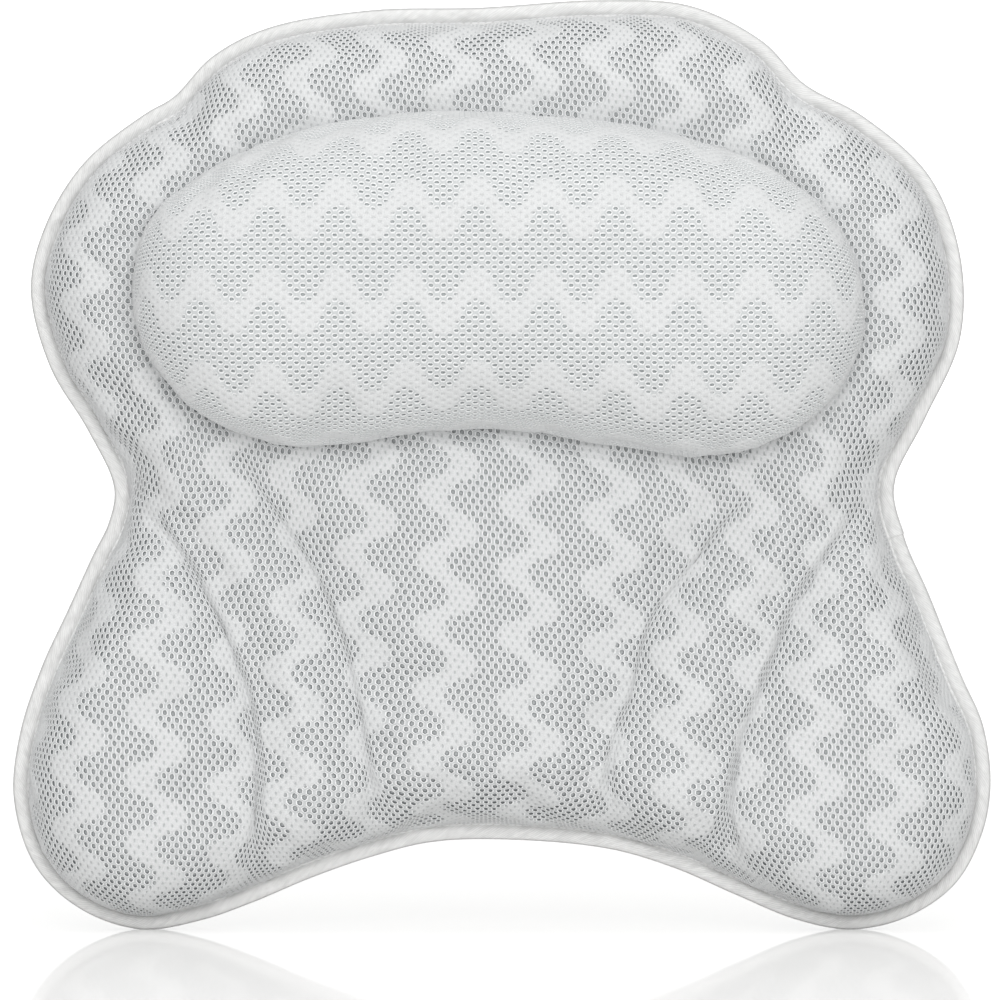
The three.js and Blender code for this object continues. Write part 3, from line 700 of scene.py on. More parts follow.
def grayOf(tree, shade):
    return addNode(tree, "ShaderNodeCombineColor", {0: shade, 1: shade, 2: shade}).outputs[0]


def bumpOf(tree, height, distance, strength, under=None):
    given = {"Height": height, "Distance": distance, "Strength": strength}
    if under:
        given["Normal"] = under
    return addNode(tree, "ShaderNodeBump", given).outputs[0]


def rangeOf(tree, value, low, high):
    return addNode(tree, "ShaderNodeMapRange", {0: value, 3: low, 4: high}).outputs[0]


def objectPlace(tree):
    return tree.nodes.new("ShaderNodeTexCoord").outputs["Object"]


# Air mesh finishes. A cell's stops run from its border at 0 over the rim at 0.5 to the hole's floor at 1.
# The dark ring at each hole's edge is a painted shadow line; the hole floors and band dimples are darkened
# partly for the layer beneath seen through them and partly as painted shade.
meshStops = [
    (0.0, "ground"), (0.2, "ground"), (0.38, "thread"), (0.52, "thread"), (0.66, "holeEdgeShadow"),
    (0.8, "holeEdgeShadow"), (1.0, "hole"),
]
bandStops = [(0.0, "band"), (0.62, "band"), (1.0, "bandDimple")]
yarn = {
    "size": 0.45 * mm,
    "backSize": 0.5 * mm,
    "shades": (0.7, 1.24),
    "relief": 0.1 * mm,
    "loopSizeShare": 1.4,
    "loopRelief": 0.12 * mm,
    "reliefStrength": 0.6,
    "cloudSize": 40 * mm,
    "cloudShades": (0.97, 1.02),
}
# The hole-edge colour is a painted shadow line, and the hole and dimple colours add painted shade to the
# colour of the layer beneath.
meshColors = {
    "ground": (0.6, 0.615, 0.622),
    "thread": (0.96, 0.965, 0.967),
    "holeEdgeShadow": (0.13, 0.145, 0.15),
    "hole": (0.52, 0.54, 0.547),
    "band": (0.73, 0.74, 0.743),
    "bandDimple": (0.55, 0.565, 0.57),
}
# On the roll too the hole-edge colour is a painted shadow line, and the hole and dimple colours add painted
# shade.
rollColors = {
    **meshColors,
    "ground": (0.61, 0.63, 0.635),
    "holeEdgeShadow": (0.26, 0.285, 0.29),
    "hole": (0.57, 0.6, 0.605),
    "band": (0.735, 0.745, 0.748),
    "bandDimple": (0.67, 0.68, 0.683),
}


def airMeshMaterial(name, colors, size):
    material, tree, shader = startMaterial(name, {
        "Roughness": 0.6, "Sheen Weight": 0.04, "Sheen Roughness": 0.4, "Specular IOR Level": 0.22,
    })
    fabric = attributeOf(tree, "fabric", "Vector")
    ring = maths(tree, "DIVIDE", attributeOf(tree, "ring"), 2.0)
    # These ramps paint a shadow line round each hole and painted shade in the hole floors and band dimples.
    meshed = rampOf(tree, ring, [(place, colors[label]) for place, label in meshStops])
    closed = rampOf(tree, ring, [(place, colors[label]) for place, label in bandStops])
    color = mixOf(tree, attributeOf(tree, "band"), meshed, closed)
    fibres = noiseOf(tree, fabric, 1 / size)
    speck = rangeOf(tree, fibres, *yarn["shades"])
    cloudy = rangeOf(tree, noiseOf(tree, fabric, 1 / yarn["cloudSize"]), *yarn["cloudShades"])
    shade = grayOf(tree, maths(tree, "MULTIPLY", speck, cloudy))
    tree.links.new(mixOf(tree, 1.0, color, shade, "MULTIPLY"), shader.inputs["Base Color"])
    wanted = {"Vector": fabric, "Scale": 1 / (yarn["loopSizeShare"] * size)}
    loops = addNode(tree, "ShaderNodeTexVoronoi", wanted).outputs["Distance"]
    knit = bumpOf(tree, loops, yarn["loopRelief"], yarn["reliefStrength"])
    relief = bumpOf(tree, fibres, yarn["relief"], yarn["reliefStrength"], knit)
    tree.links.new(relief, shader.inputs["Normal"])
    return material


airMeshFinish = airMeshMaterial("air_mesh", meshColors, yarn["size"])
rollMeshFinish = airMeshMaterial("roll_mesh", rollColors, yarn["size"])
backMeshFinish = airMeshMaterial("back_mesh", meshColors, yarn["backSize"])


# Front cover: crowned pad with its sewn channels
frontLook = {
    "cellWidth": 3.25 * mm, "rowStep": 2.5 * mm, "holeDepth": 0.95 * mm, "rimLift": 0.14 * mm,
    "bandPitch": 32.4 * mm, "bandPeriod": 26.7 * mm, "bandSwing": 12.4 * mm, "bandThickness": 11.4 * mm,
    "bandAcross": 11.1 * mm, "bandAlong": -0.85 * mm, "bandLift": 0.2 * mm,
    "closing": 0.0, "bandClosing": 0.45,
    "unevenness": 0.9 * mm, "noiseSize": 1.1 * mm,
}
front = {
    "sheet": (514 * mm, 522 * mm),
    "weaveTurn": [[1, -0.14], [0.01, 1]],
    "crowding": {"at": 0, "reach": 12 * mm, "share": 0.6},
    "eased": 12 * mm,
    "easedFrom": 40 * mm,
    "easedTo": 160 * mm,
    "margin": 2.4 * mm,
    "pinned": 3 * mm,
    "seamPinned": 4 * mm,
    "puffCap": 5 * mm,
    "hiddenBy": 6 * mm,
    "freeFrom": 2 * mm,
    "hiddenDrop": 0.5 * mm,
    "softWave": 1.1 * mm,
    "softScale": 42 * mm,
    "softFrom": 30 * mm,
    "finerShare": 0.5,
    "finerScale": 2.3,
    "softSeeds": (3.1, 8.7),
    "pucker": 0.45 * mm,
    "puckerStep": 7 * mm,
    "puckerReach": 12 * mm,
    "puckerFrom": 3 * mm,
    "puckerSeed": 5.3,
}


# The cover is eased in towards the middle, from nearer the middle at the top
def easedFront(x, z):
    start = front["easedFrom"] * (1 - smoothstep(z, 0, pad["height"] / 2))
    return front["eased"] * smoothstep(x, start, front["easedTo"])


def makeFront():
    profile = crownProfile(pad["crownRun"], pad["crownHeight"], front["crowding"])
    placing = front["sheet"], np.zeros(2), front["weaveTurn"], sheetStep
    sheet = sewnSheet(outline, pad["hemWidth"], profile, *placing, easedFront)
    keep, pull = seamDips(sheet["plan"])
    plan = sheet["plan"] + pull * smoothstep(sheet["way"], 0, pad["crownRun"])[:, None]
    points = depthPoints(plan, pad["hemDepth"] + sheet["height"] * keep)

    underRoll = isInside(rollOutline, plan)
    rollGap = nearestOn(rollOutline, plan, True)[1] * np.where(underRoll, 1, -1)
    free = 1 - smoothstep(rollGap, -front["hiddenBy"], front["freeFrom"])
    held = 1 - smoothstep(sheet["length"], front["pinned"], 3 * front["pinned"])
    for name, line in seams.items():
        _, gap, share = nearestOn(line, plan, False)
        atSeam = 1 - smoothstep(gap, front["seamPinned"] / 2, 2 * front["seamPinned"])
        held = np.maximum(held, atSeam * smoothstep(share, 0, channel["fadeShares"][name]))
    held = np.maximum(held, 1 - free)
    points += puffed(sheet, points, held, front["puffCap"]) * free[:, None]

    lift = sheetNormals(points, sheet["shape"])
    u, v = sheet["flat"].T
    seed, finerSeed = front["softSeeds"]
    finer = wobble(u, v, front["softScale"] / front["finerScale"], finerSeed)
    soft = wobble(u, v, front["softScale"], seed) + front["finerShare"] * finer
    soft *= front["softWave"] * smoothstep(sheet["length"], 0, front["softFrom"]) * free
    around = sheet["share"] * np.linalg.norm(np.diff(outline, axis=0), axis=1).sum()
    pucker = wobble(around, np.zeros_like(around), front["puckerStep"], front["puckerSeed"])
    pucker *= front["pucker"] * np.exp(-np.maximum(sheet["length"], 0) / front["puckerReach"])
    pucker *= smoothstep(sheet["length"], 0, front["puckerFrom"])
    points += lift * (soft + pucker)[:, None]
    points[:, 1] += front["hiddenDrop"] * (1 - free)
    cover = makeAirMesh("front_cover", sheet, points, front["margin"], frontLook, airMeshFinish)
    closeAt(cover, pad["innerDepth"])
    return cover


frontCover = makeFront()
print("front cover ready")


# Neck roll: the same mesh turned a quarter, domed, its sides drawn in under it
rollLook = {
    **frontLook,
    "closing": 0.34, "cellWidth": 3.65 * mm, "rowStep": 2.55 * mm,
    "bandPitch": 38 * mm, "bandPeriod": 27.8 * mm, "bandSwing": -14 * mm, "bandThickness": 12.6 * mm,
    "bandAcross": 6.3 * mm, "bandAlong": -8.2 * mm,
}
rollCover = {
    "sheet": (242 * mm, 398 * mm),
    "weaveTurn": [[0, -1], [1, 0]],
    "crowding": {"at": 15 * mm, "reach": 11 * mm, "share": 0.9},
    "margin": 3 * mm,
    "capAbove": 1 * mm,
    "pinned": 8 * mm,
    "puffCap": 2.5 * mm,
    "softWave": 0.8 * mm,
    "softScale": 38 * mm,
    "softFrom": (10 * mm, 30 * mm),
    "softSeed": 12.4,
}


def makeRoll():
    under = roll["tuck"], roll["widest"]
    profile = crownProfile(roll["crownRun"], roll["height"] - roll["widest"], rollCover["crowding"], under)
    placing = rollCover["sheet"], rollMiddle, rollCover["weaveTurn"], sheetStep
    sheet = sewnSheet(rollOutline, 0, profile, *placing)
    points = depthPoints(sheet["plan"], roll["footDepth"] + sheet["height"])
    held = 1 - smoothstep(sheet["length"], rollCover["pinned"], 2 * rollCover["pinned"])
    points += puffed(sheet, points, held, rollCover["puffCap"])
    u, v = sheet["flat"].T
    soft = wobble(u, v, rollCover["softScale"], rollCover["softSeed"]) * rollCover["softWave"]
    soft *= smoothstep(sheet["length"], *rollCover["softFrom"])
    points += sheetNormals(points, sheet["shape"]) * soft[:, None]
    cover = makeAirMesh("neck_roll", sheet, points, rollCover["margin"], rollLook, rollMeshFinish)
    closeAt(cover, roll["footDepth"] + rollCover["capAbove"])
    return cover


neckRoll = makeRoll()
print("neck roll ready")


# Back cover: plain mesh, flat but for its rounded rim. A band thickness below zero leaves out the bands.
backLook = {
    **frontLook,
    "cellWidth": 4.2 * mm, "rowStep": 3.2 * mm, "bandThickness": -mm, "holeDepth": 0.9 * mm,
}
back = {
    "sheet": (424 * mm, 404 * mm),
    "weaveTurn": [[-1, 0], [0, 1]],
    "crowding": {"at": 0, "reach": 10 * mm, "share": 0.1},
    "margin": 2 * mm,
    "softWave": 0.5 * mm,
    "softScale": 50 * mm,
    "softFrom": 20 * mm,
    "softSeed": 21.9,
}


def makeBack():
    profile = crownProfile(pad["backRun"], pad["backHemDepth"] - pad["backFlatDepth"], back["crowding"])
    placing = back["sheet"], np.zeros(2), back["weaveTurn"], 2 * sheetStep
    sheet = sewnSheet(outline, pad["hemWidth"], profile, *placing)
    points = depthPoints(sheet["plan"], pad["backHemDepth"] - sheet["height"])
    u, v = sheet["flat"].T
    soft = (0.5 + 0.5 * wobble(u, v, back["softScale"], back["softSeed"])) * back["softWave"]
    points[:, 1] -= soft * smoothstep(sheet["length"], 0, back["softFrom"])
    cover = makeAirMesh("back_cover", sheet, points, back["margin"], backLook, backMeshFinish)
    closeAt(cover, pad["backInnerDepth"])
    return cover


backCover = makeBack()
print("back cover ready")
bpy.data.objects.remove(cell)


# Satin tape folded round the edge. The section runs from the front's inner edge round the fold and back,
# as distances in from the outline and depths from the tub wall.
binding = {
    "stations": 960,
    "frontSection": [
        (7.2, 29.4), (7.2, 30.2), (6.9, 30.7), (6.6, 30.5), (6.2, 29.8), (5.8, 30.4), (5.0, 31.0),
        (3.9, 31.35), (2.7, 31.45), (1.6, 31.3), (0.9, 30.95), (0.35, 30.3), (0.08, 29.3), (0.0, 27.9),
    ],
    "backSection": [
        (0.0, 25.5), (0.15, 24.2), (0.55, 23.1), (1.2, 22.5), (2.0, 22.2), (3.0, 22.15), (4.0, 22.3),
        (5.0, 22.7), (5.8, 23.1), (6.2, 23.5), (6.6, 23.1), (6.9, 23.0), (7.2, 23.2), (7.2, 23.7),
    ],
    "insideSection": [(0.9, 23.7), (0.9, 29.7)],
    "pucker": 0.7 * mm,
    "puckerStep": 5.2 * mm,
    "puckerSlant": 1.2,
    "puckerValley": 0.4,
    "deepest": -0.7,
    "finerShare": 0.4,
    "finerStep": 3.4,
    "crinkleStep": 26 * mm,
    "crinkleShares": (0.45, 1.9),
    "seeds": {"pucker": 7.7, "finer": 2.2, "crinkle": 3.3},
    "stitchLine": 6.2 * mm,
    # the width over which the tape is darkened towards its outer fold, as painted shade
    "foldPaintedShadeWidth": 0.9 * mm,
    "lapAt": (158 * mm, -30 * mm),
    "lapLength": 20 * mm,
    "lapThickness": 0.4 * mm,
    "lapSink": -0.2,
    "lapFineness": 4,
    "mapUnit": 4 * mm,
}
# The satin's sizes are in units of the tape's map
satin = {
    "twillTurn": 58,
    "twillStep": 0.1,
    "twillDistortion": 4.0,
    "twillShades": (0.72, 0.82),
    "twillRelief": 0.1 * mm,
    "twillStrength": 0.6,
    "slubScale": (2.6, 0.7, 1),
    "slubShades": (0.8, 1.2),
    # painted shade at the outer fold, from darkest at the fold to none past its width
    "foldPaintedShade": (0.5, 1.0),
    "blueShare": 0.99,
    "sheenScale": 0.25,
    "roughness": (0.3, 0.46),
}


def evenly(line, count, closed=True):
    ring = np.vstack([line, line[:1]]) if closed else line
    way = np.concatenate([[0], np.cumsum(np.linalg.norm(np.diff(ring, axis=0), axis=1))])
    at = np.linspace(0, way[-1], count, endpoint=not closed)
    return np.stack([np.interp(at, way, ring[:, i]) for i in range(ring.shape[1])], 1), way[-1]


# Unit directions at a right angle to the given ones
def sideways(along):
    along = along / np.linalg.norm(along, axis=1, keepdims=True)
    return np.stack([along[:, 1], -along[:, 0]], 1)


def inwardOf(ring):
    return sideways(np.roll(ring, -1, 0) - np.roll(ring, 1, 0))


def satinMaterial():
    material, tree, shader = startMaterial("satin_tape", {
        "Sheen Weight": 0.05, "Sheen Roughness": 0.3, "Specular IOR Level": 0.3,
    })
    tape = addNode(tree, "ShaderNodeUVMap", uv_map="tape").outputs[0]
    turn = (0, 0, math.radians(satin["twillTurn"]))
    turned = addNode(tree, "ShaderNodeMapping", {"Vector": tape, "Rotation": turn}).outputs[0]
    wanted = {"Scale": 1 / (2 * math.pi * satin["twillStep"]), "Distortion": satin["twillDistortion"]}
    twill = addNode(tree, "ShaderNodeTexWave", {"Vector": turned, **wanted}).outputs["Fac"]
    stretched = addNode(tree, "ShaderNodeMapping", {"Vector": turned, "Scale": satin["slubScale"]}).outputs[0]
    slubs = rangeOf(tree, noiseOf(tree, stretched, 1.0), *satin["slubShades"])
    shade = maths(tree, "MULTIPLY", rangeOf(tree, twill, *satin["twillShades"]), slubs)
    # Painted shade darkens the tape towards its outer fold.
    shade = maths(tree, "MULTIPLY", shade, rangeOf(tree, attributeOf(tree, "into"), *satin["foldPaintedShade"]))
    blue = maths(tree, "MULTIPLY", shade, satin["blueShare"])
    color = addNode(tree, "ShaderNodeCombineColor", {0: shade, 1: shade, 2: blue}).outputs[0]
    roughness = rangeOf(tree, noiseOf(tree, tape, satin["sheenScale"]), *satin["roughness"])
    tree.links.new(color, shader.inputs["Base Color"])
    tree.links.new(roughness, shader.inputs["Roughness"])
    tree.links.new(bumpOf(tree, twill, satin["twillRelief"], satin["twillStrength"]), shader.inputs["Normal"])
    return material


# The section swept along part of the outline, pushed out by a lap's thickness where it lies on itself
def sweptTape(name, ring, inward, at, closed, outwards=0.0):
    outerPush = np.reshape(outwards, (-1, 1))
    section = np.array(binding["frontSection"] + binding["backSection"] + binding["insideSection"]) * mm
    hemMiddle = (pad["hemDepth"] + pad["backHemDepth"]) / 2
    count, sides = len(ring), len(section)
    points = np.zeros((count, sides, 3))
    # Full folds with sharp valleys, deeper along some stretches of the tape than along others
    least, more = binding["crinkleShares"]
    seeds, step = binding["seeds"], binding["puckerStep"]
    crinkle = least + more * np.abs(wobble(at, np.zeros(count), binding["crinkleStep"], seeds["crinkle"]))
    for k, (into, depth) in enumerate(section):
        place = at - into * binding["puckerSlant"], np.full(count, into)
        fold = 2 * np.abs(wobble(*place, step, seeds["pucker"])) - binding["puckerValley"]
        fold += binding["finerShare"] * wobble(*place, step / binding["finerStep"], seeds["finer"])
        fold = np.maximum(fold * crinkle, binding["deepest"])
        onTop = k < sides - len(binding["insideSection"])
        fullness = math.sin(math.pi * min(into / binding["stitchLine"], 1)) if onTop else 0
        side = 1 if depth > hemMiddle else -1
        lifted = depth + side * (fold * binding["pucker"] * fullness + outwards * onTop)
        points[:, k] = depthPoints(ring + inward * (into - outerPush * onTop * (into < mm)), lifted)
    last = count if closed else count - 1
    faces, stations = [], []
    for i in range(last):
        for k in range(sides):
            j, m = (i + 1) % count, (k + 1) % sides
            faces.append((i * sides + k, j * sides + k, j * sides + m, i * sides + m))
            stations.append(((i, k), (i + 1, k), (i + 1, k + 1), (i, k + 1)))
    if not closed:
        for i in (0, last):
            faces.append(tuple(i * sides + k for k in range(sides)))
            stations.append(tuple((i, k) for k in range(sides)))
    mesh = meshOf(name, points.reshape(-1, 3), faces)
    steps = np.linalg.norm(np.diff(section, axis=0, append=section[:1]), axis=1)
    reach = np.concatenate([[0], np.cumsum(steps)])
    # The distance in from the fold, in widths of the fold's painted shade, which the satin uses to paint that
    # shade
    setAttribute(mesh, "into", "FLOAT", np.tile(section[:, 0] / binding["foldPaintedShadeWidth"], count))
    layer = mesh.uv_layers.new(name="tape")
    for polygon, places in zip(mesh.polygons, stations):
        for loop, (i, k) in zip(polygon.loop_indices, places):
            way = at[i] if i < count else at[-1] + at[1] - at[0]
            layer.data[loop].uv = (way / binding["mapUnit"], reach[k] / binding["mapUnit"])
    mesh.shade_smooth()
    return newPiece(name, mesh)


def makeBinding():
    ring, around = evenly(outline, binding["stations"])
    at = np.arange(len(ring)) * around / len(ring)
    tape = sweptTape("edge_tape", ring, inwardOf(ring), at, True)
    fine, _ = evenly(ring, len(ring) * binding["lapFineness"])
    inward = inwardOf(fine)
    start = np.linalg.norm(fine - np.array(binding["lapAt"]), axis=1).argmin()
    reach = int(binding["lapLength"] / around * len(fine))
    some = (start - np.arange(reach)) % len(fine)
    # The lap is thickest at its cut end and runs out inside the tape
    wedge = binding["lapThickness"] * np.linspace(1, binding["lapSink"], reach)
    lap = sweptTape("lap", fine[some], inward[some], some * around / len(fine), False, wedge)
    return finishMesh(joined([tape, lap]), satinFinish)


def joined(pieces):
    with bpy.context.temp_override(active_object=pieces[0], selected_editable_objects=pieces):
        bpy.ops.object.join()
    return pieces[0]


def finishMesh(piece, material):
    with edited(piece) as bm:
        bmesh.ops.recalc_face_normals(bm, faces=bm.faces)
    piece.data.materials.clear()
    piece.data.materials.append(material)
    return piece


satinFinish = satinMaterial()
edgeTape = makeBinding()
print("edge tape ready")


# Stitches: one short thread along each step of a path
def stitchTree():
    tree, given = startTree("stitchRow", {
        "Path": "Object", "Stitch": "Object", "Step": "Float", "Facing": "Vector", "Material": "Material",
    })
    path = addNode(tree, "GeometryNodeObjectInfo", {"Object": given["Path"]}).outputs["Geometry"]
    curve = addNode(tree, "GeometryNodeMeshToCurve", {0: path}).outputs[0]
    wanted = {"Curve": curve, "Length": given["Step"]}
    even = addNode(tree, "GeometryNodeResampleCurve", wanted, mode="LENGTH").outputs[0]
    tangent = tree.nodes.new("GeometryNodeInputTangent").outputs[0]
    along = addNode(tree, "FunctionNodeAlignRotationToVector", {"Vector": tangent}, axis="X").outputs[0]
    wanted = {"Rotation": along, "Vector": given["Facing"]}
    facing = addNode(tree, "FunctionNodeAlignRotationToVector", wanted, axis="Z", pivot_axis="X").outputs[0]
    stitch = addNode(tree, "GeometryNodeObjectInfo", {"Object": given["Stitch"]}).outputs["Geometry"]
    wanted = {"Points": even, "Instance": stitch, "Rotation": facing}
    stitches = addNode(tree, "GeometryNodeInstanceOnPoints", wanted).outputs[0]
    wanted = {
        "Geometry": addNode(tree, "GeometryNodeRealizeInstances", {0: stitches}).outputs[0],
        "Shade Smooth": True,
    }
    endTree(tree, addNode(tree, "GeometryNodeSetShadeSmooth", wanted).outputs[0], given["Material"])
    return tree


thread = {
    "thickness": 0.5 * mm,
    "sides": 6,
    "endShares": [(-1, 0.3), (-0.75, 0.85), (0, 1), (0.75, 0.85), (1, 0.3)],
    "twist": 0.35 * mm,
    "twistRelief": 0.06 * mm,
    "twistStrength": 0.7,
}


# A stitch lies along X, or across the path where it is a bar
def makeStitch(length, isBar=False):
    sides = thread["sides"]
    points = []
    for alongShare, roundShare in thread["endShares"]:
        for k in range(sides):
            turn = 2 * math.pi * k / sides
            radius = roundShare * thread["thickness"] / 2
            place = (alongShare * length / 2, radius * math.cos(turn), radius * math.sin(turn))
            points.append((-place[1], place[0], place[2]) if isBar else place)
    rings = len(thread["endShares"])
    faces = [
        (i * sides + k, (i + 1) * sides + k, (i + 1) * sides + (k + 1) % sides, i * sides + (k + 1) % sides)
        for i in range(rings - 1)
        for k in range(sides)
    ]
    faces += [tuple(range(sides)), tuple(range((rings - 1) * sides, rings * sides))[::-1]]
    piece = newPiece("stitch", meshOf("stitch", points, faces))
    return finishMesh(piece, threadFinish)


def threadMaterial():
    material, tree, shader = startMaterial("thread", {
        "Base Color": (0.88, 0.885, 0.885, 1), "Roughness": 0.5, "Sheen Weight": 0.3,
    })
    twist = noiseOf(tree, objectPlace(tree), 1 / thread["twist"])
    relief = bumpOf(tree, twist, thread["twistRelief"], thread["twistStrength"])
    tree.links.new(relief, shader.inputs["Normal"])
    return material


def pathOf(points, closed):
    count = len(points)
    edges = [(i, (i + 1) % count) for i in range(count if closed else count - 1)]
    mesh = bpy.data.meshes.new("path")
    mesh.from_pydata(np.asarray(points, float).tolist(), edges, [])
    return newPiece("path", mesh)


# A row of stitches along a path, sized by the length of one and the step from one to the next
def sew(name, points, closed, size, facing, isBar=False):
    length, step = size
    path, stitch = pathOf(points, closed), makeStitch(length, isBar)
    row = grow(name, stitchRow, {
        "Path": path, "Stitch": stitch, "Step": step, "Facing": facing, "Material": threadFinish,
    })
    bpy.data.objects.remove(path)
    bpy.data.objects.remove(stitch)
    return row


threadFinish = threadMaterial()
stitchRow = stitchTree()
edgeSeam = {"stitch": (2.4 * mm, 3 * mm), "frontDepth": 30.1 * mm, "backDepth": 23.2 * mm}


def makeEdgeStitches():
    ring, _ = evenly(outline, binding["stations"])
    line = ring + inwardOf(ring) * binding["stitchLine"]
    rows = [
        sew("edge_stitches", depthPoints(line, edgeSeam[side + "Depth"]), True, edgeSeam["stitch"], facing)
        for side, facing in (("front", (0, -1, 0)), ("back", (0, 1, 0)))
    ]
    return joined(rows)


edgeStitches = makeEdgeStitches()
print("edge stitches ready")


# Webbing straps sewn to the back, each lifted over a cup's button
strap = {
    "length": 64 * mm,
    "width": 24 * mm,
    "thickness": 1.2 * mm,
    "flat": 11 * mm,
    "ramp": 9 * mm,
    "sewnLift": 0.3 * mm,
    "middleLift": 3.1 * mm,
    "holeHalfWidth": 4.4 * mm,
    "holeHalfLength": 9.5 * mm,
    "ribStep": 2 * mm,
    "ribHeight": 0.12 * mm,
    "alongSteps": 80,
    "acrossSteps": 24,
    "edgeRounding": 0.3 * mm,
    "boxInset": 2 * mm,
    "boxStitch": (2 * mm, 2.4 * mm),
    "holeStitch": (1.9 * mm, 0.5 * mm),
    "holeStitchEdge": (1 * mm, 0.9 * mm),
    "holeSteps": 48,
}
webbing = {
    "ribSize": 0.28 * mm,
    "distortion": 1.2,
    "detailScale": 3.0,
    "shades": [(0.0, (0.66, 0.67, 0.67)), (0.55, (0.83, 0.835, 0.835))],
    "relief": 0.12 * mm,
    "strength": 0.6,
}
cupPlaceShares = {
    "top_left": (-0.215, 0.305),
    "top_right": (0.215, 0.305),
    "middle_left": (-0.265, 0.01),
    "middle_right": (0.265, 0.01),
    "bottom_left": (-0.325, -0.31),
    "bottom_right": (0.325, -0.31),
}
cupPlaces = {
    place: Vector((xShare * pad["width"], -pad["backFlatDepth"], zShare * pad["height"]))
    for place, (xShare, zShare) in cupPlaceShares.items()
}


def webbingMaterial():
    material, tree, shader = startMaterial("webbing", {
        "Roughness": 0.62, "Sheen Weight": 0.3, "Sheen Roughness": 0.4, "Specular IOR Level": 0.35,
    })
    place = objectPlace(tree)
    flipped = addNode(tree, "ShaderNodeMapping", {"Vector": place, "Scale": (-1, 1, 1)}).outputs[0]
    wanted = {
        "Scale": 1 / (2 * math.pi) / webbing["ribSize"], "Distortion": webbing["distortion"],
        "Detail Scale": webbing["detailScale"],
    }
    ribs = [
        addNode(tree, "ShaderNodeTexWave", {"Vector": way, **wanted}, bands_direction="DIAGONAL")
        for way in (place, flipped)
    ]
    weave = maths(tree, "MAXIMUM", *(rib.outputs["Fac"] for rib in ribs))
    tree.links.new(rampOf(tree, weave, webbing["shades"]), shader.inputs["Base Color"])
    tree.links.new(bumpOf(tree, weave, webbing["relief"], webbing["strength"]), shader.inputs["Normal"])
    return material


webbingFinish = webbingMaterial()


def withModifiers(piece, *wanted):
    for kind, settings in wanted:
        modifier = piece.modifiers.new(kind, kind)
        for key, value in settings.items():
            setattr(modifier, key, value)
    graph = bpy.context.evaluated_depsgraph_get()
    mesh = bpy.data.meshes.new_from_object(piece.evaluated_get(graph), depsgraph=graph)
    piece.modifiers.clear()
    piece.data = mesh
    return piece


tapeEdgeAngle = math.radians(60)


# A strip of tape from the middle surface of its weave
def solidTape(name, points, faces, thickness, rounding):
    piece = newPiece(name, meshOf(name, points, faces))
    with edited(piece) as bm:
        bmesh.ops.remove_doubles(bm, verts=bm.verts, dist=closeBy)
        bmesh.ops.recalc_face_normals(bm, faces=bm.faces)
    bevel = {"width": rounding, "segments": 2, "limit_method": "ANGLE", "angle_limit": tapeEdgeAngle}
    withModifiers(piece, ("SOLIDIFY", {"thickness": thickness, "offset": 0}), ("BEVEL", bevel))
    piece.data.shade_smooth()
    return finishMesh(piece, webbingFinish)


def strapLift(x):
    rampEnd = strap["length"] / 2 - strap["flat"]
    up = 1 - smoothstep(np.abs(x), rampEnd - strap["ramp"], rampEnd)
    return strap["sewnLift"] + (strap["middleLift"] - strap["sewnLift"]) * up


def eyeHalfWidth(x):
    return strap["holeHalfWidth"] * np.maximum(1 - (x / strap["holeHalfLength"]) ** 2, 0)


# A box seam with its cross, sewn in one go
def crossedBox(corners):
    return [*corners, corners[0], corners[2], corners[3], corners[1]]


def makeStrap(name, middle):
    x = np.linspace(-1, 1, strap["alongSteps"] + 1) * strap["length"] / 2
    share = np.linspace(0, 1, strap["acrossSteps"] + 1)
    points, faces = [], []
    for side in (-1, 1):
        eye = eyeHalfWidth(x)[:, None]
        across = eye + share * (strap["width"] / 2 - eye)
        rib = strap["ribHeight"] * np.cos(2 * math.pi * across / strap["ribStep"])
        lift = strapLift(x)[:, None] + strap["thickness"] / 2 + rib
        grid = np.stack([middle.x + x[:, None] + 0 * across, middle.y + lift, middle.z + side * across], -1)
        start = len(points)
        points.extend(grid.reshape(-1, 3))
        faces += [tuple(start + i for i in face) for face in gridFaces(*across.shape)]
    band = solidTape(name, points, faces, strap["thickness"], strap["edgeRounding"])
    inset, top = strap["boxInset"], strap["sewnLift"] + strap["thickness"] + thread["thickness"] / 4
    rows = []
    for side in (-1, 1):
        outer = side * (strap["length"] / 2 - inset)
        inner = side * (strap["length"] / 2 - strap["flat"] + inset / 2)
        half = strap["width"] / 2 - inset
        corners = [(outer, -half), (outer, half), (inner, half), (inner, -half)]
        line = [middle + Vector((a, top, b)) for a, b in crossedBox(corners)]
        rows.append(sew("box_stitch", line, False, strap["boxStitch"], (0, 1, 0)))
    turns = np.linspace(0, 2 * math.pi, strap["holeSteps"] + 1)[:-1]
    endEdge, sideEdge = strap["holeStitchEdge"]
    eyeX = (strap["holeHalfLength"] + endEdge) * np.cos(turns)
    eyeZ = np.sign(np.sin(turns)) * (eyeHalfWidth(eyeX) + sideEdge)
    lift = strapLift(eyeX) + strap["thickness"] + thread["thickness"] / 6
    rim = [middle + Vector(p) for p in zip(eyeX, lift, eyeZ)]
    rows.append(sew("buttonhole_stitch", rim, True, strap["holeStitch"], (0, 1, 0), isBar=True))
    return band, joined(rows)


straps, strapStitches = [], []
for place, middle in cupPlaces.items():
    band, stitches = makeStrap("webbing_" + place, middle)
    stitches.name = "webbing_stitches_" + place
    straps.append((place, band))
    strapStitches.append(stitches)
print("straps ready")


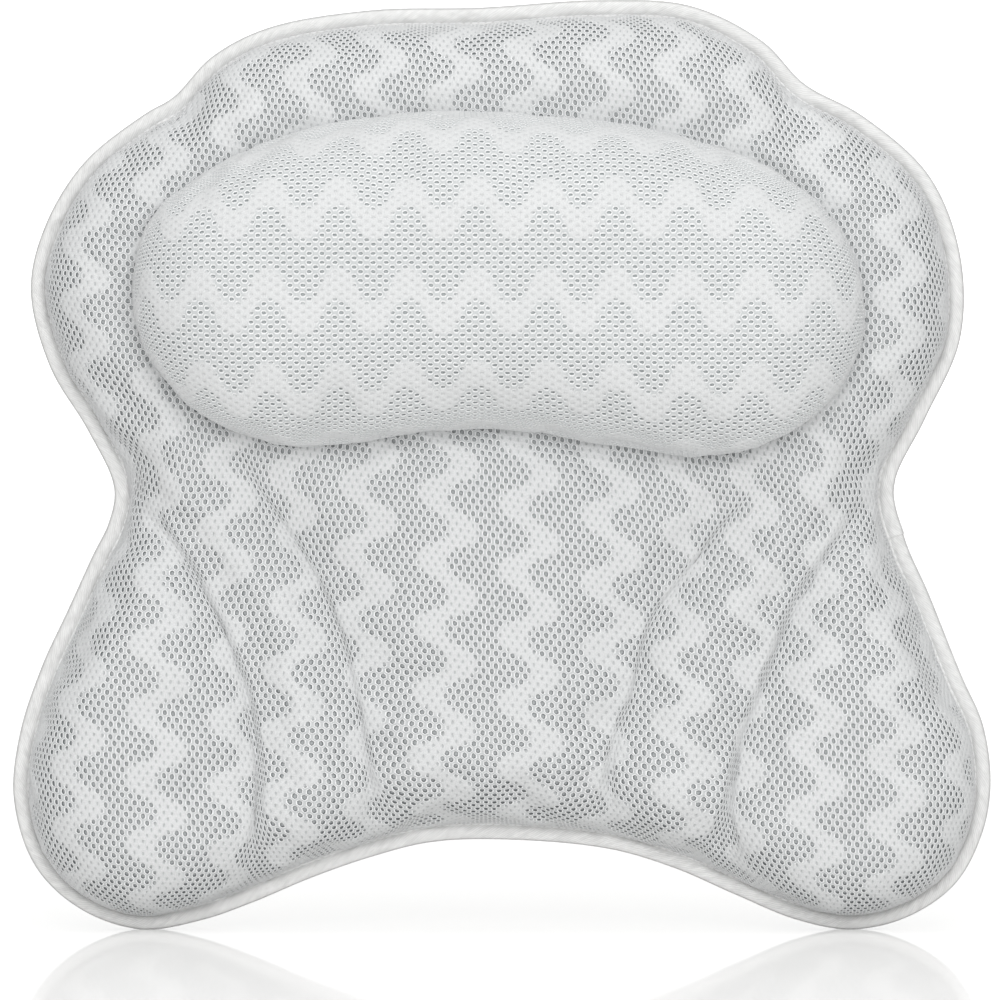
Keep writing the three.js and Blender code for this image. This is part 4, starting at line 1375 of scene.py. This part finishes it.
# Suction cups of clear vinyl, each with its button and pull tab
cup = {
    "radius": 29 * mm,
    "height": 20 * mm,
    "rimWidth": 3.5 * mm,
    "rimThickness": 1.2 * mm,
    "hollowDepth": 9.5 * mm,
    "shoulderRadius": 9 * mm,
    "neckRadius": 4 * mm,
    "bodyLift": 4.6 * mm,
    "knobRadius": 8 * mm,
    "knobLift": 0.3 * mm,
    "knobThickness": 2.5 * mm,
    "domePower": 1.3,
    "shoulderSteps": 3,
    "rimStart": -60,
    "rimSteps": 6,
    "tabLength": 9 * mm,
    "tabWidth": 10 * mm,
    "tabThickness": 1.2 * mm,
    "tabBite": 2.5 * mm,
    "tabSetback": 0.4 * mm,
    "tabEndSteps": 24,
    "sides": 72,
    "profileSteps": 10,
    "joinWithin": mm / 200,
    "thinnest": mm / 1000,
}
vinyl = {
    "roughness": (0.06, 0.2),
    "smearSize": 6 * mm,
    "waveSize": 9 * mm,
    "waveRelief": 0.3 * mm,
    "waveStrength": 0.25,
}


def vinylMaterial():
    material, tree, shader = startMaterial("clear_vinyl", {
        "Base Color": (0.9, 0.95, 0.96, 1), "IOR": 1.5, "Transmission Weight": 0.93,
    })
    smears, waves = (noiseOf(tree, objectPlace(tree), 1 / vinyl[size]) for size in ("smearSize", "waveSize"))
    tree.links.new(rangeOf(tree, smears, *vinyl["roughness"]), shader.inputs["Roughness"])
    tree.links.new(bumpOf(tree, waves, vinyl["waveRelief"], vinyl["waveStrength"]), shader.inputs["Normal"])
    return material


vinylFinish = vinylMaterial()


def arc(middle, radius, start, end, steps=4):
    turns = np.radians(np.linspace(start, end, steps + 1))
    return [(middle[0] + radius * math.cos(t), middle[1] + radius * math.sin(t)) for t in turns]


# Half section of a cup as radii and heights above the back cover
def cupSection():
    knobTop = cup["knobLift"] + cup["knobThickness"]
    rimTop = cup["height"] - cup["rimThickness"]
    hollow = cup["radius"] - cup["rimWidth"]
    soft = cup["rimThickness"] / 2
    shares = np.linspace(0, 1, cup["profileSteps"] + 1)
    line = [(0, cup["knobLift"])]
    line += arc((cup["knobRadius"] - soft, cup["knobLift"] + soft), soft, -90, 0)
    line += arc((cup["knobRadius"] - soft, knobTop - soft), soft, 0, 90)
    line += [(cup["neckRadius"], knobTop), (cup["neckRadius"], cup["bodyLift"])]
    shoulder = cup["shoulderRadius"] - soft, cup["bodyLift"] + soft
    line += arc(shoulder, soft, -90, 0, cup["shoulderSteps"])[:-1]
    line += [
        (cup["shoulderRadius"] + (cup["radius"] - soft - cup["shoulderRadius"]) * s,
         cup["bodyLift"] + soft + (rimTop - cup["bodyLift"] - soft) * s ** cup["domePower"])
        for s in shares
    ]
    line += arc((cup["radius"] - soft, cup["height"] - soft), soft, cup["rimStart"], 90, cup["rimSteps"])
    line += [(hollow * s, cup["height"] - cup["hollowDepth"] * (1 - s * s)) for s in shares[::-1]]
    return line


def turned(line, middle):
    sides = cup["sides"]
    points, faces = [], []
    for radius, lift in line:
        for k in range(sides):
            turn = 2 * math.pi * k / sides
            x, z = radius * math.cos(turn), radius * math.sin(turn)
            points.append((middle.x + x, middle.y + lift, middle.z + z))
    for i in range(len(line) - 1):
        for k in range(sides):
            m = (k + 1) % sides
            faces.append((i * sides + k, i * sides + m, (i + 1) * sides + m, (i + 1) * sides + k))
    return points, faces


def cleaned(piece):
    with edited(piece) as bm:
        bmesh.ops.remove_doubles(bm, verts=bm.verts, dist=cup["joinWithin"])
        bmesh.ops.dissolve_degenerate(bm, edges=bm.edges, dist=cup["thinnest"])
        bmesh.ops.recalc_face_normals(bm, faces=bm.faces)
    return piece


# Pull tab: a tongue with a round end
def tabSolid(middle):
    half, end = cup["tabWidth"] / 2, cup["radius"] + cup["tabLength"]
    low = middle.y + cup["height"] - cup["tabSetback"] - cup["tabThickness"]
    rim = [(half, -cup["radius"] + cup["tabBite"])]
    rim += arc((0, -end + half), half, 0, -180, cup["tabEndSteps"])
    rim += [(-half, -cup["radius"] + cup["tabBite"])]
    count = len(rim)
    points = [(middle.x + x, low + up, middle.z + z) for up in (0, cup["tabThickness"]) for x, z in rim]
    faces = [tuple(range(count)), tuple(range(count, 2 * count))[::-1]]
    faces += [(k, (k + 1) % count, count + (k + 1) % count, count + k) for k in range(count)]
    tab = cleaned(newPiece("tab", meshOf("tab", points, faces)))
    bevel = {"width": cup["tabThickness"] / 4, "segments": 2, "limit_method": "ANGLE"}
    return withModifiers(tab, ("BEVEL", bevel))


def makeCup(place, middle):
    points, faces = turned(cupSection(), middle)
    body = cleaned(newPiece("suction_" + place, meshOf("suction", points, faces)))
    tab = tabSolid(middle)
    withModifiers(body, ("BOOLEAN", {"operation": "UNION", "object": tab, "solver": "EXACT"}))
    bpy.data.objects.remove(tab)
    body.data.shade_smooth()
    return finishMesh(body, vinylFinish)


cups = [(place, makeCup(place, middle)) for place, middle in cupPlaces.items()]
print("suction cups ready")


# Hanging loop of narrow tape, and the patch that sews it to the back
loop = {
    "tapeWidth": 6 * mm,
    "thickness": 1.2 * mm,
    "width": 22 * mm,
    "length": 42 * mm,
    "topShare": 0.37,
    "gap": 0.3 * mm,
    "ribs": 3,
    "ribHeight": 0.1 * mm,
    "rounding": 0.25 * mm,
    "legSteps": 20,
    "bendSteps": 30,
    "acrossSteps": 12,
    "patchHeight": 10 * mm,
    "patchRibStep": 1.8 * mm,
    "patchSteps": (24, 44),
    "patchInset": 1.5 * mm,
    "patchStitch": (1.9 * mm, 2.3 * mm),
}
loopLevel = -pad["backFlatDepth"] + loop["gap"] + loop["thickness"] / 2
loopWeave = loop["thickness"] - 2 * loop["ribHeight"], loop["rounding"]


def makeLoop():
    half = (loop["width"] - loop["tapeWidth"]) / 2
    top = loop["topShare"] * pad["height"] - loop["gap"]
    bend = top - loop["length"] + loop["width"] / 2
    left = [(-half, z) for z in np.linspace(top, bend, loop["legSteps"])]
    right = [(-x, z) for x, z in left[::-1]]
    middle = np.array(left[:-1] + arc((0, bend), half, 180, 360, loop["bendSteps"]) + right[1:])
    shares = np.linspace(-1, 1, loop["acrossSteps"] + 1)
    points = []
    for place, out in zip(middle, sideways(np.gradient(middle, axis=0))):
        for share in shares:
            at = place + out * share * loop["tapeWidth"] / 2
            rib = loop["ribHeight"] * math.cos(share * loop["ribs"] * math.pi)
            points.append((at[0], loopLevel + rib, at[1]))
    return solidTape("loop_tape", points, gridFaces(len(middle), len(shares)), *loopWeave)


def makePatch():
    low = loop["topShare"] * pad["height"]
    high = low + loop["patchHeight"]
    columns, rows = loop["patchSteps"]
    xs = np.linspace(-1, 1, columns + 1) * loop["width"] / 2
    zs = np.linspace(low, high, rows + 1)
    ribs = [loop["ribHeight"] * math.cos(2 * math.pi * (z - low) / loop["patchRibStep"]) for z in zs]
    points = [(x, loopLevel + rib, z) for z, rib in zip(zs, ribs) for x in xs]
    patch = solidTape("loop_patch", points, gridFaces(len(zs), len(xs)), *loopWeave)
    inset = loop["patchInset"]
    half = loop["width"] / 2 - inset
    top = loopLevel + loop["thickness"] / 2 + thread["thickness"] / 4
    plan = ((-half, low + inset), (half, low + inset), (half, high - inset), (-half, high - inset))
    route = crossedBox([(x, top, z) for x, z in plan])
    return patch, sew("loop_stitches", route, False, loop["patchStitch"], (0, 1, 0))


loopTape = makeLoop()
loopPatch, loopStitches = makePatch()
print("hanging loop ready")


# Floor, light and camera
camera = {"distance": 5, "elevation": 2.2, "sensor": 36, "frameWidth": 0.4086, "aim": (-0.7 * mm, -14.1 * mm)}
studio = {
    "fill": 0.58,
    "backdrop": 1.4,
    "floorReach": 5,
    # The floor's cover falls from floorBody near the object to floorBodyFar away from it, painted light that
    # whitens the far floor
    "floorBody": 0.72,
    "floorBodyFar": 0.15,
    "floorPaintedLightReach": 1.1,
    "floorShine": 0.34,
    "floorRoughness": 0.05,
    "lightAim": (0, -0.05, 0),
    "lights": {
        "key": {"place": (0.15, -2.3, 0.75), "energy": 25, "size": 1.6},
        "top": {"place": (0.0, -0.5, 1.8), "energy": 7, "size": 1.2},
    },
}


def setStage():
    far = studio["floorReach"]
    corners = [(x, y, floorLevel) for x, y in ((-far, -far), (far, -far), (far, far), (-far, far))]
    floor = newPiece("floor", meshOf("floor", corners, [(0, 1, 2, 3)]))
    # A white floor that lets more and more of the bright backdrop through away from the object: painted light
    # that whitens the far floor, so shade on it shows only near the object
    material, tree, shader = startMaterial("white_floor", {
        "Base Color": (0.91, 0.9, 0.885, 1), "Roughness": 1.0, "Specular IOR Level": 0.0,
    })
    away = addNode(tree, "ShaderNodeVectorMath", {0: objectPlace(tree)}, operation="LENGTH").outputs["Value"]
    share = maths(tree, "DIVIDE", away, studio["floorPaintedLightReach"])
    tree.links.new(rangeOf(tree, share, studio["floorBody"], studio["floorBodyFar"]), shader.inputs["Alpha"])
    shine = addNode(tree, "ShaderNodeBsdfGlossy", {"Roughness": studio["floorRoughness"]}).outputs[0]
    wanted = {0: studio["floorShine"], 1: shader.outputs[0], 2: shine}
    mixed = addNode(tree, "ShaderNodeMixShader", wanted).outputs[0]
    tree.links.new(mixed, tree.nodes["Material Output"].inputs["Surface"])
    floor.data.materials.append(material)

    # The backdrop is white to the camera and in the floor's shine, and softer as a light
    world = bpy.data.worlds.new("studio")
    world.use_nodes = True
    tree = world.node_tree
    ray = tree.nodes.new("ShaderNodeLightPath").outputs
    seen = maths(tree, "MAXIMUM", ray["Is Camera Ray"], ray["Is Glossy Ray"])
    backdrop = tree.nodes["Background"].inputs
    tree.links.new(rangeOf(tree, seen, studio["fill"], studio["backdrop"]), backdrop["Strength"])
    backdrop["Color"].default_value = (1, 1, 1, 1)
    bpy.context.scene.world = world
    for name, light in studio["lights"].items():
        data = bpy.data.lights.new(name, "AREA")
        data.energy = light["energy"]
        data.size = light["size"]
        lamp = bpy.data.objects.new(name, data)
        bpy.context.scene.collection.objects.link(lamp)
        lamp.location = light["place"]
        lamp.rotation_euler = (Vector(studio["lightAim"]) - lamp.location).to_track_quat("-Z", "Y").to_euler()


def setCamera():
    data = bpy.data.cameras.new("camera")
    view = bpy.data.objects.new("camera", data)
    bpy.context.scene.collection.objects.link(view)
    data.sensor_width = camera["sensor"]
    data.lens = data.sensor_width * camera["distance"] / camera["frameWidth"]
    tilt = math.radians(camera["elevation"])
    aim = Vector((camera["aim"][0], -pad["hemDepth"], camera["aim"][1]))
    view.location = aim + Vector((0, -math.cos(tilt), math.sin(tilt))) * camera["distance"]
    view.rotation_euler = (math.pi / 2 - tilt, 0, 0)
    bpy.context.scene.camera = view


setStage()
setCamera()

for piece, slotName, nodes in (
    (frontCover, "air_mesh", ["front_panel", "filling_wings", "filling_right_lobe", "filling_left_lobe",
                              "filling_right_channel", "filling_centre_channel", "filling_left_channel"]),
    (neckRoll, "roll_mesh", ["neck_roll_cover", "neck_roll_core", "neck_roll_base"]),
    (backCover, "back_mesh", ["back_panel"]),
    (edgeTape, "satin_binding", ["edge_binding"]),
):
    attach(piece, "pad")
    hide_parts(*nodes)

for place, band in straps:
    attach(band, "pad")
    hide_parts("strap_" + place)
for place, piece in cups:
    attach(piece, "cup_" + place)
    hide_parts("cup_" + place)
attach(loopTape, "hanging_loop")
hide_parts("hanging_loop")
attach(loopPatch, "pad")
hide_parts("loop_anchor")
for piece in (edgeStitches, loopStitches, *strapStitches):
    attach(piece, "pad")
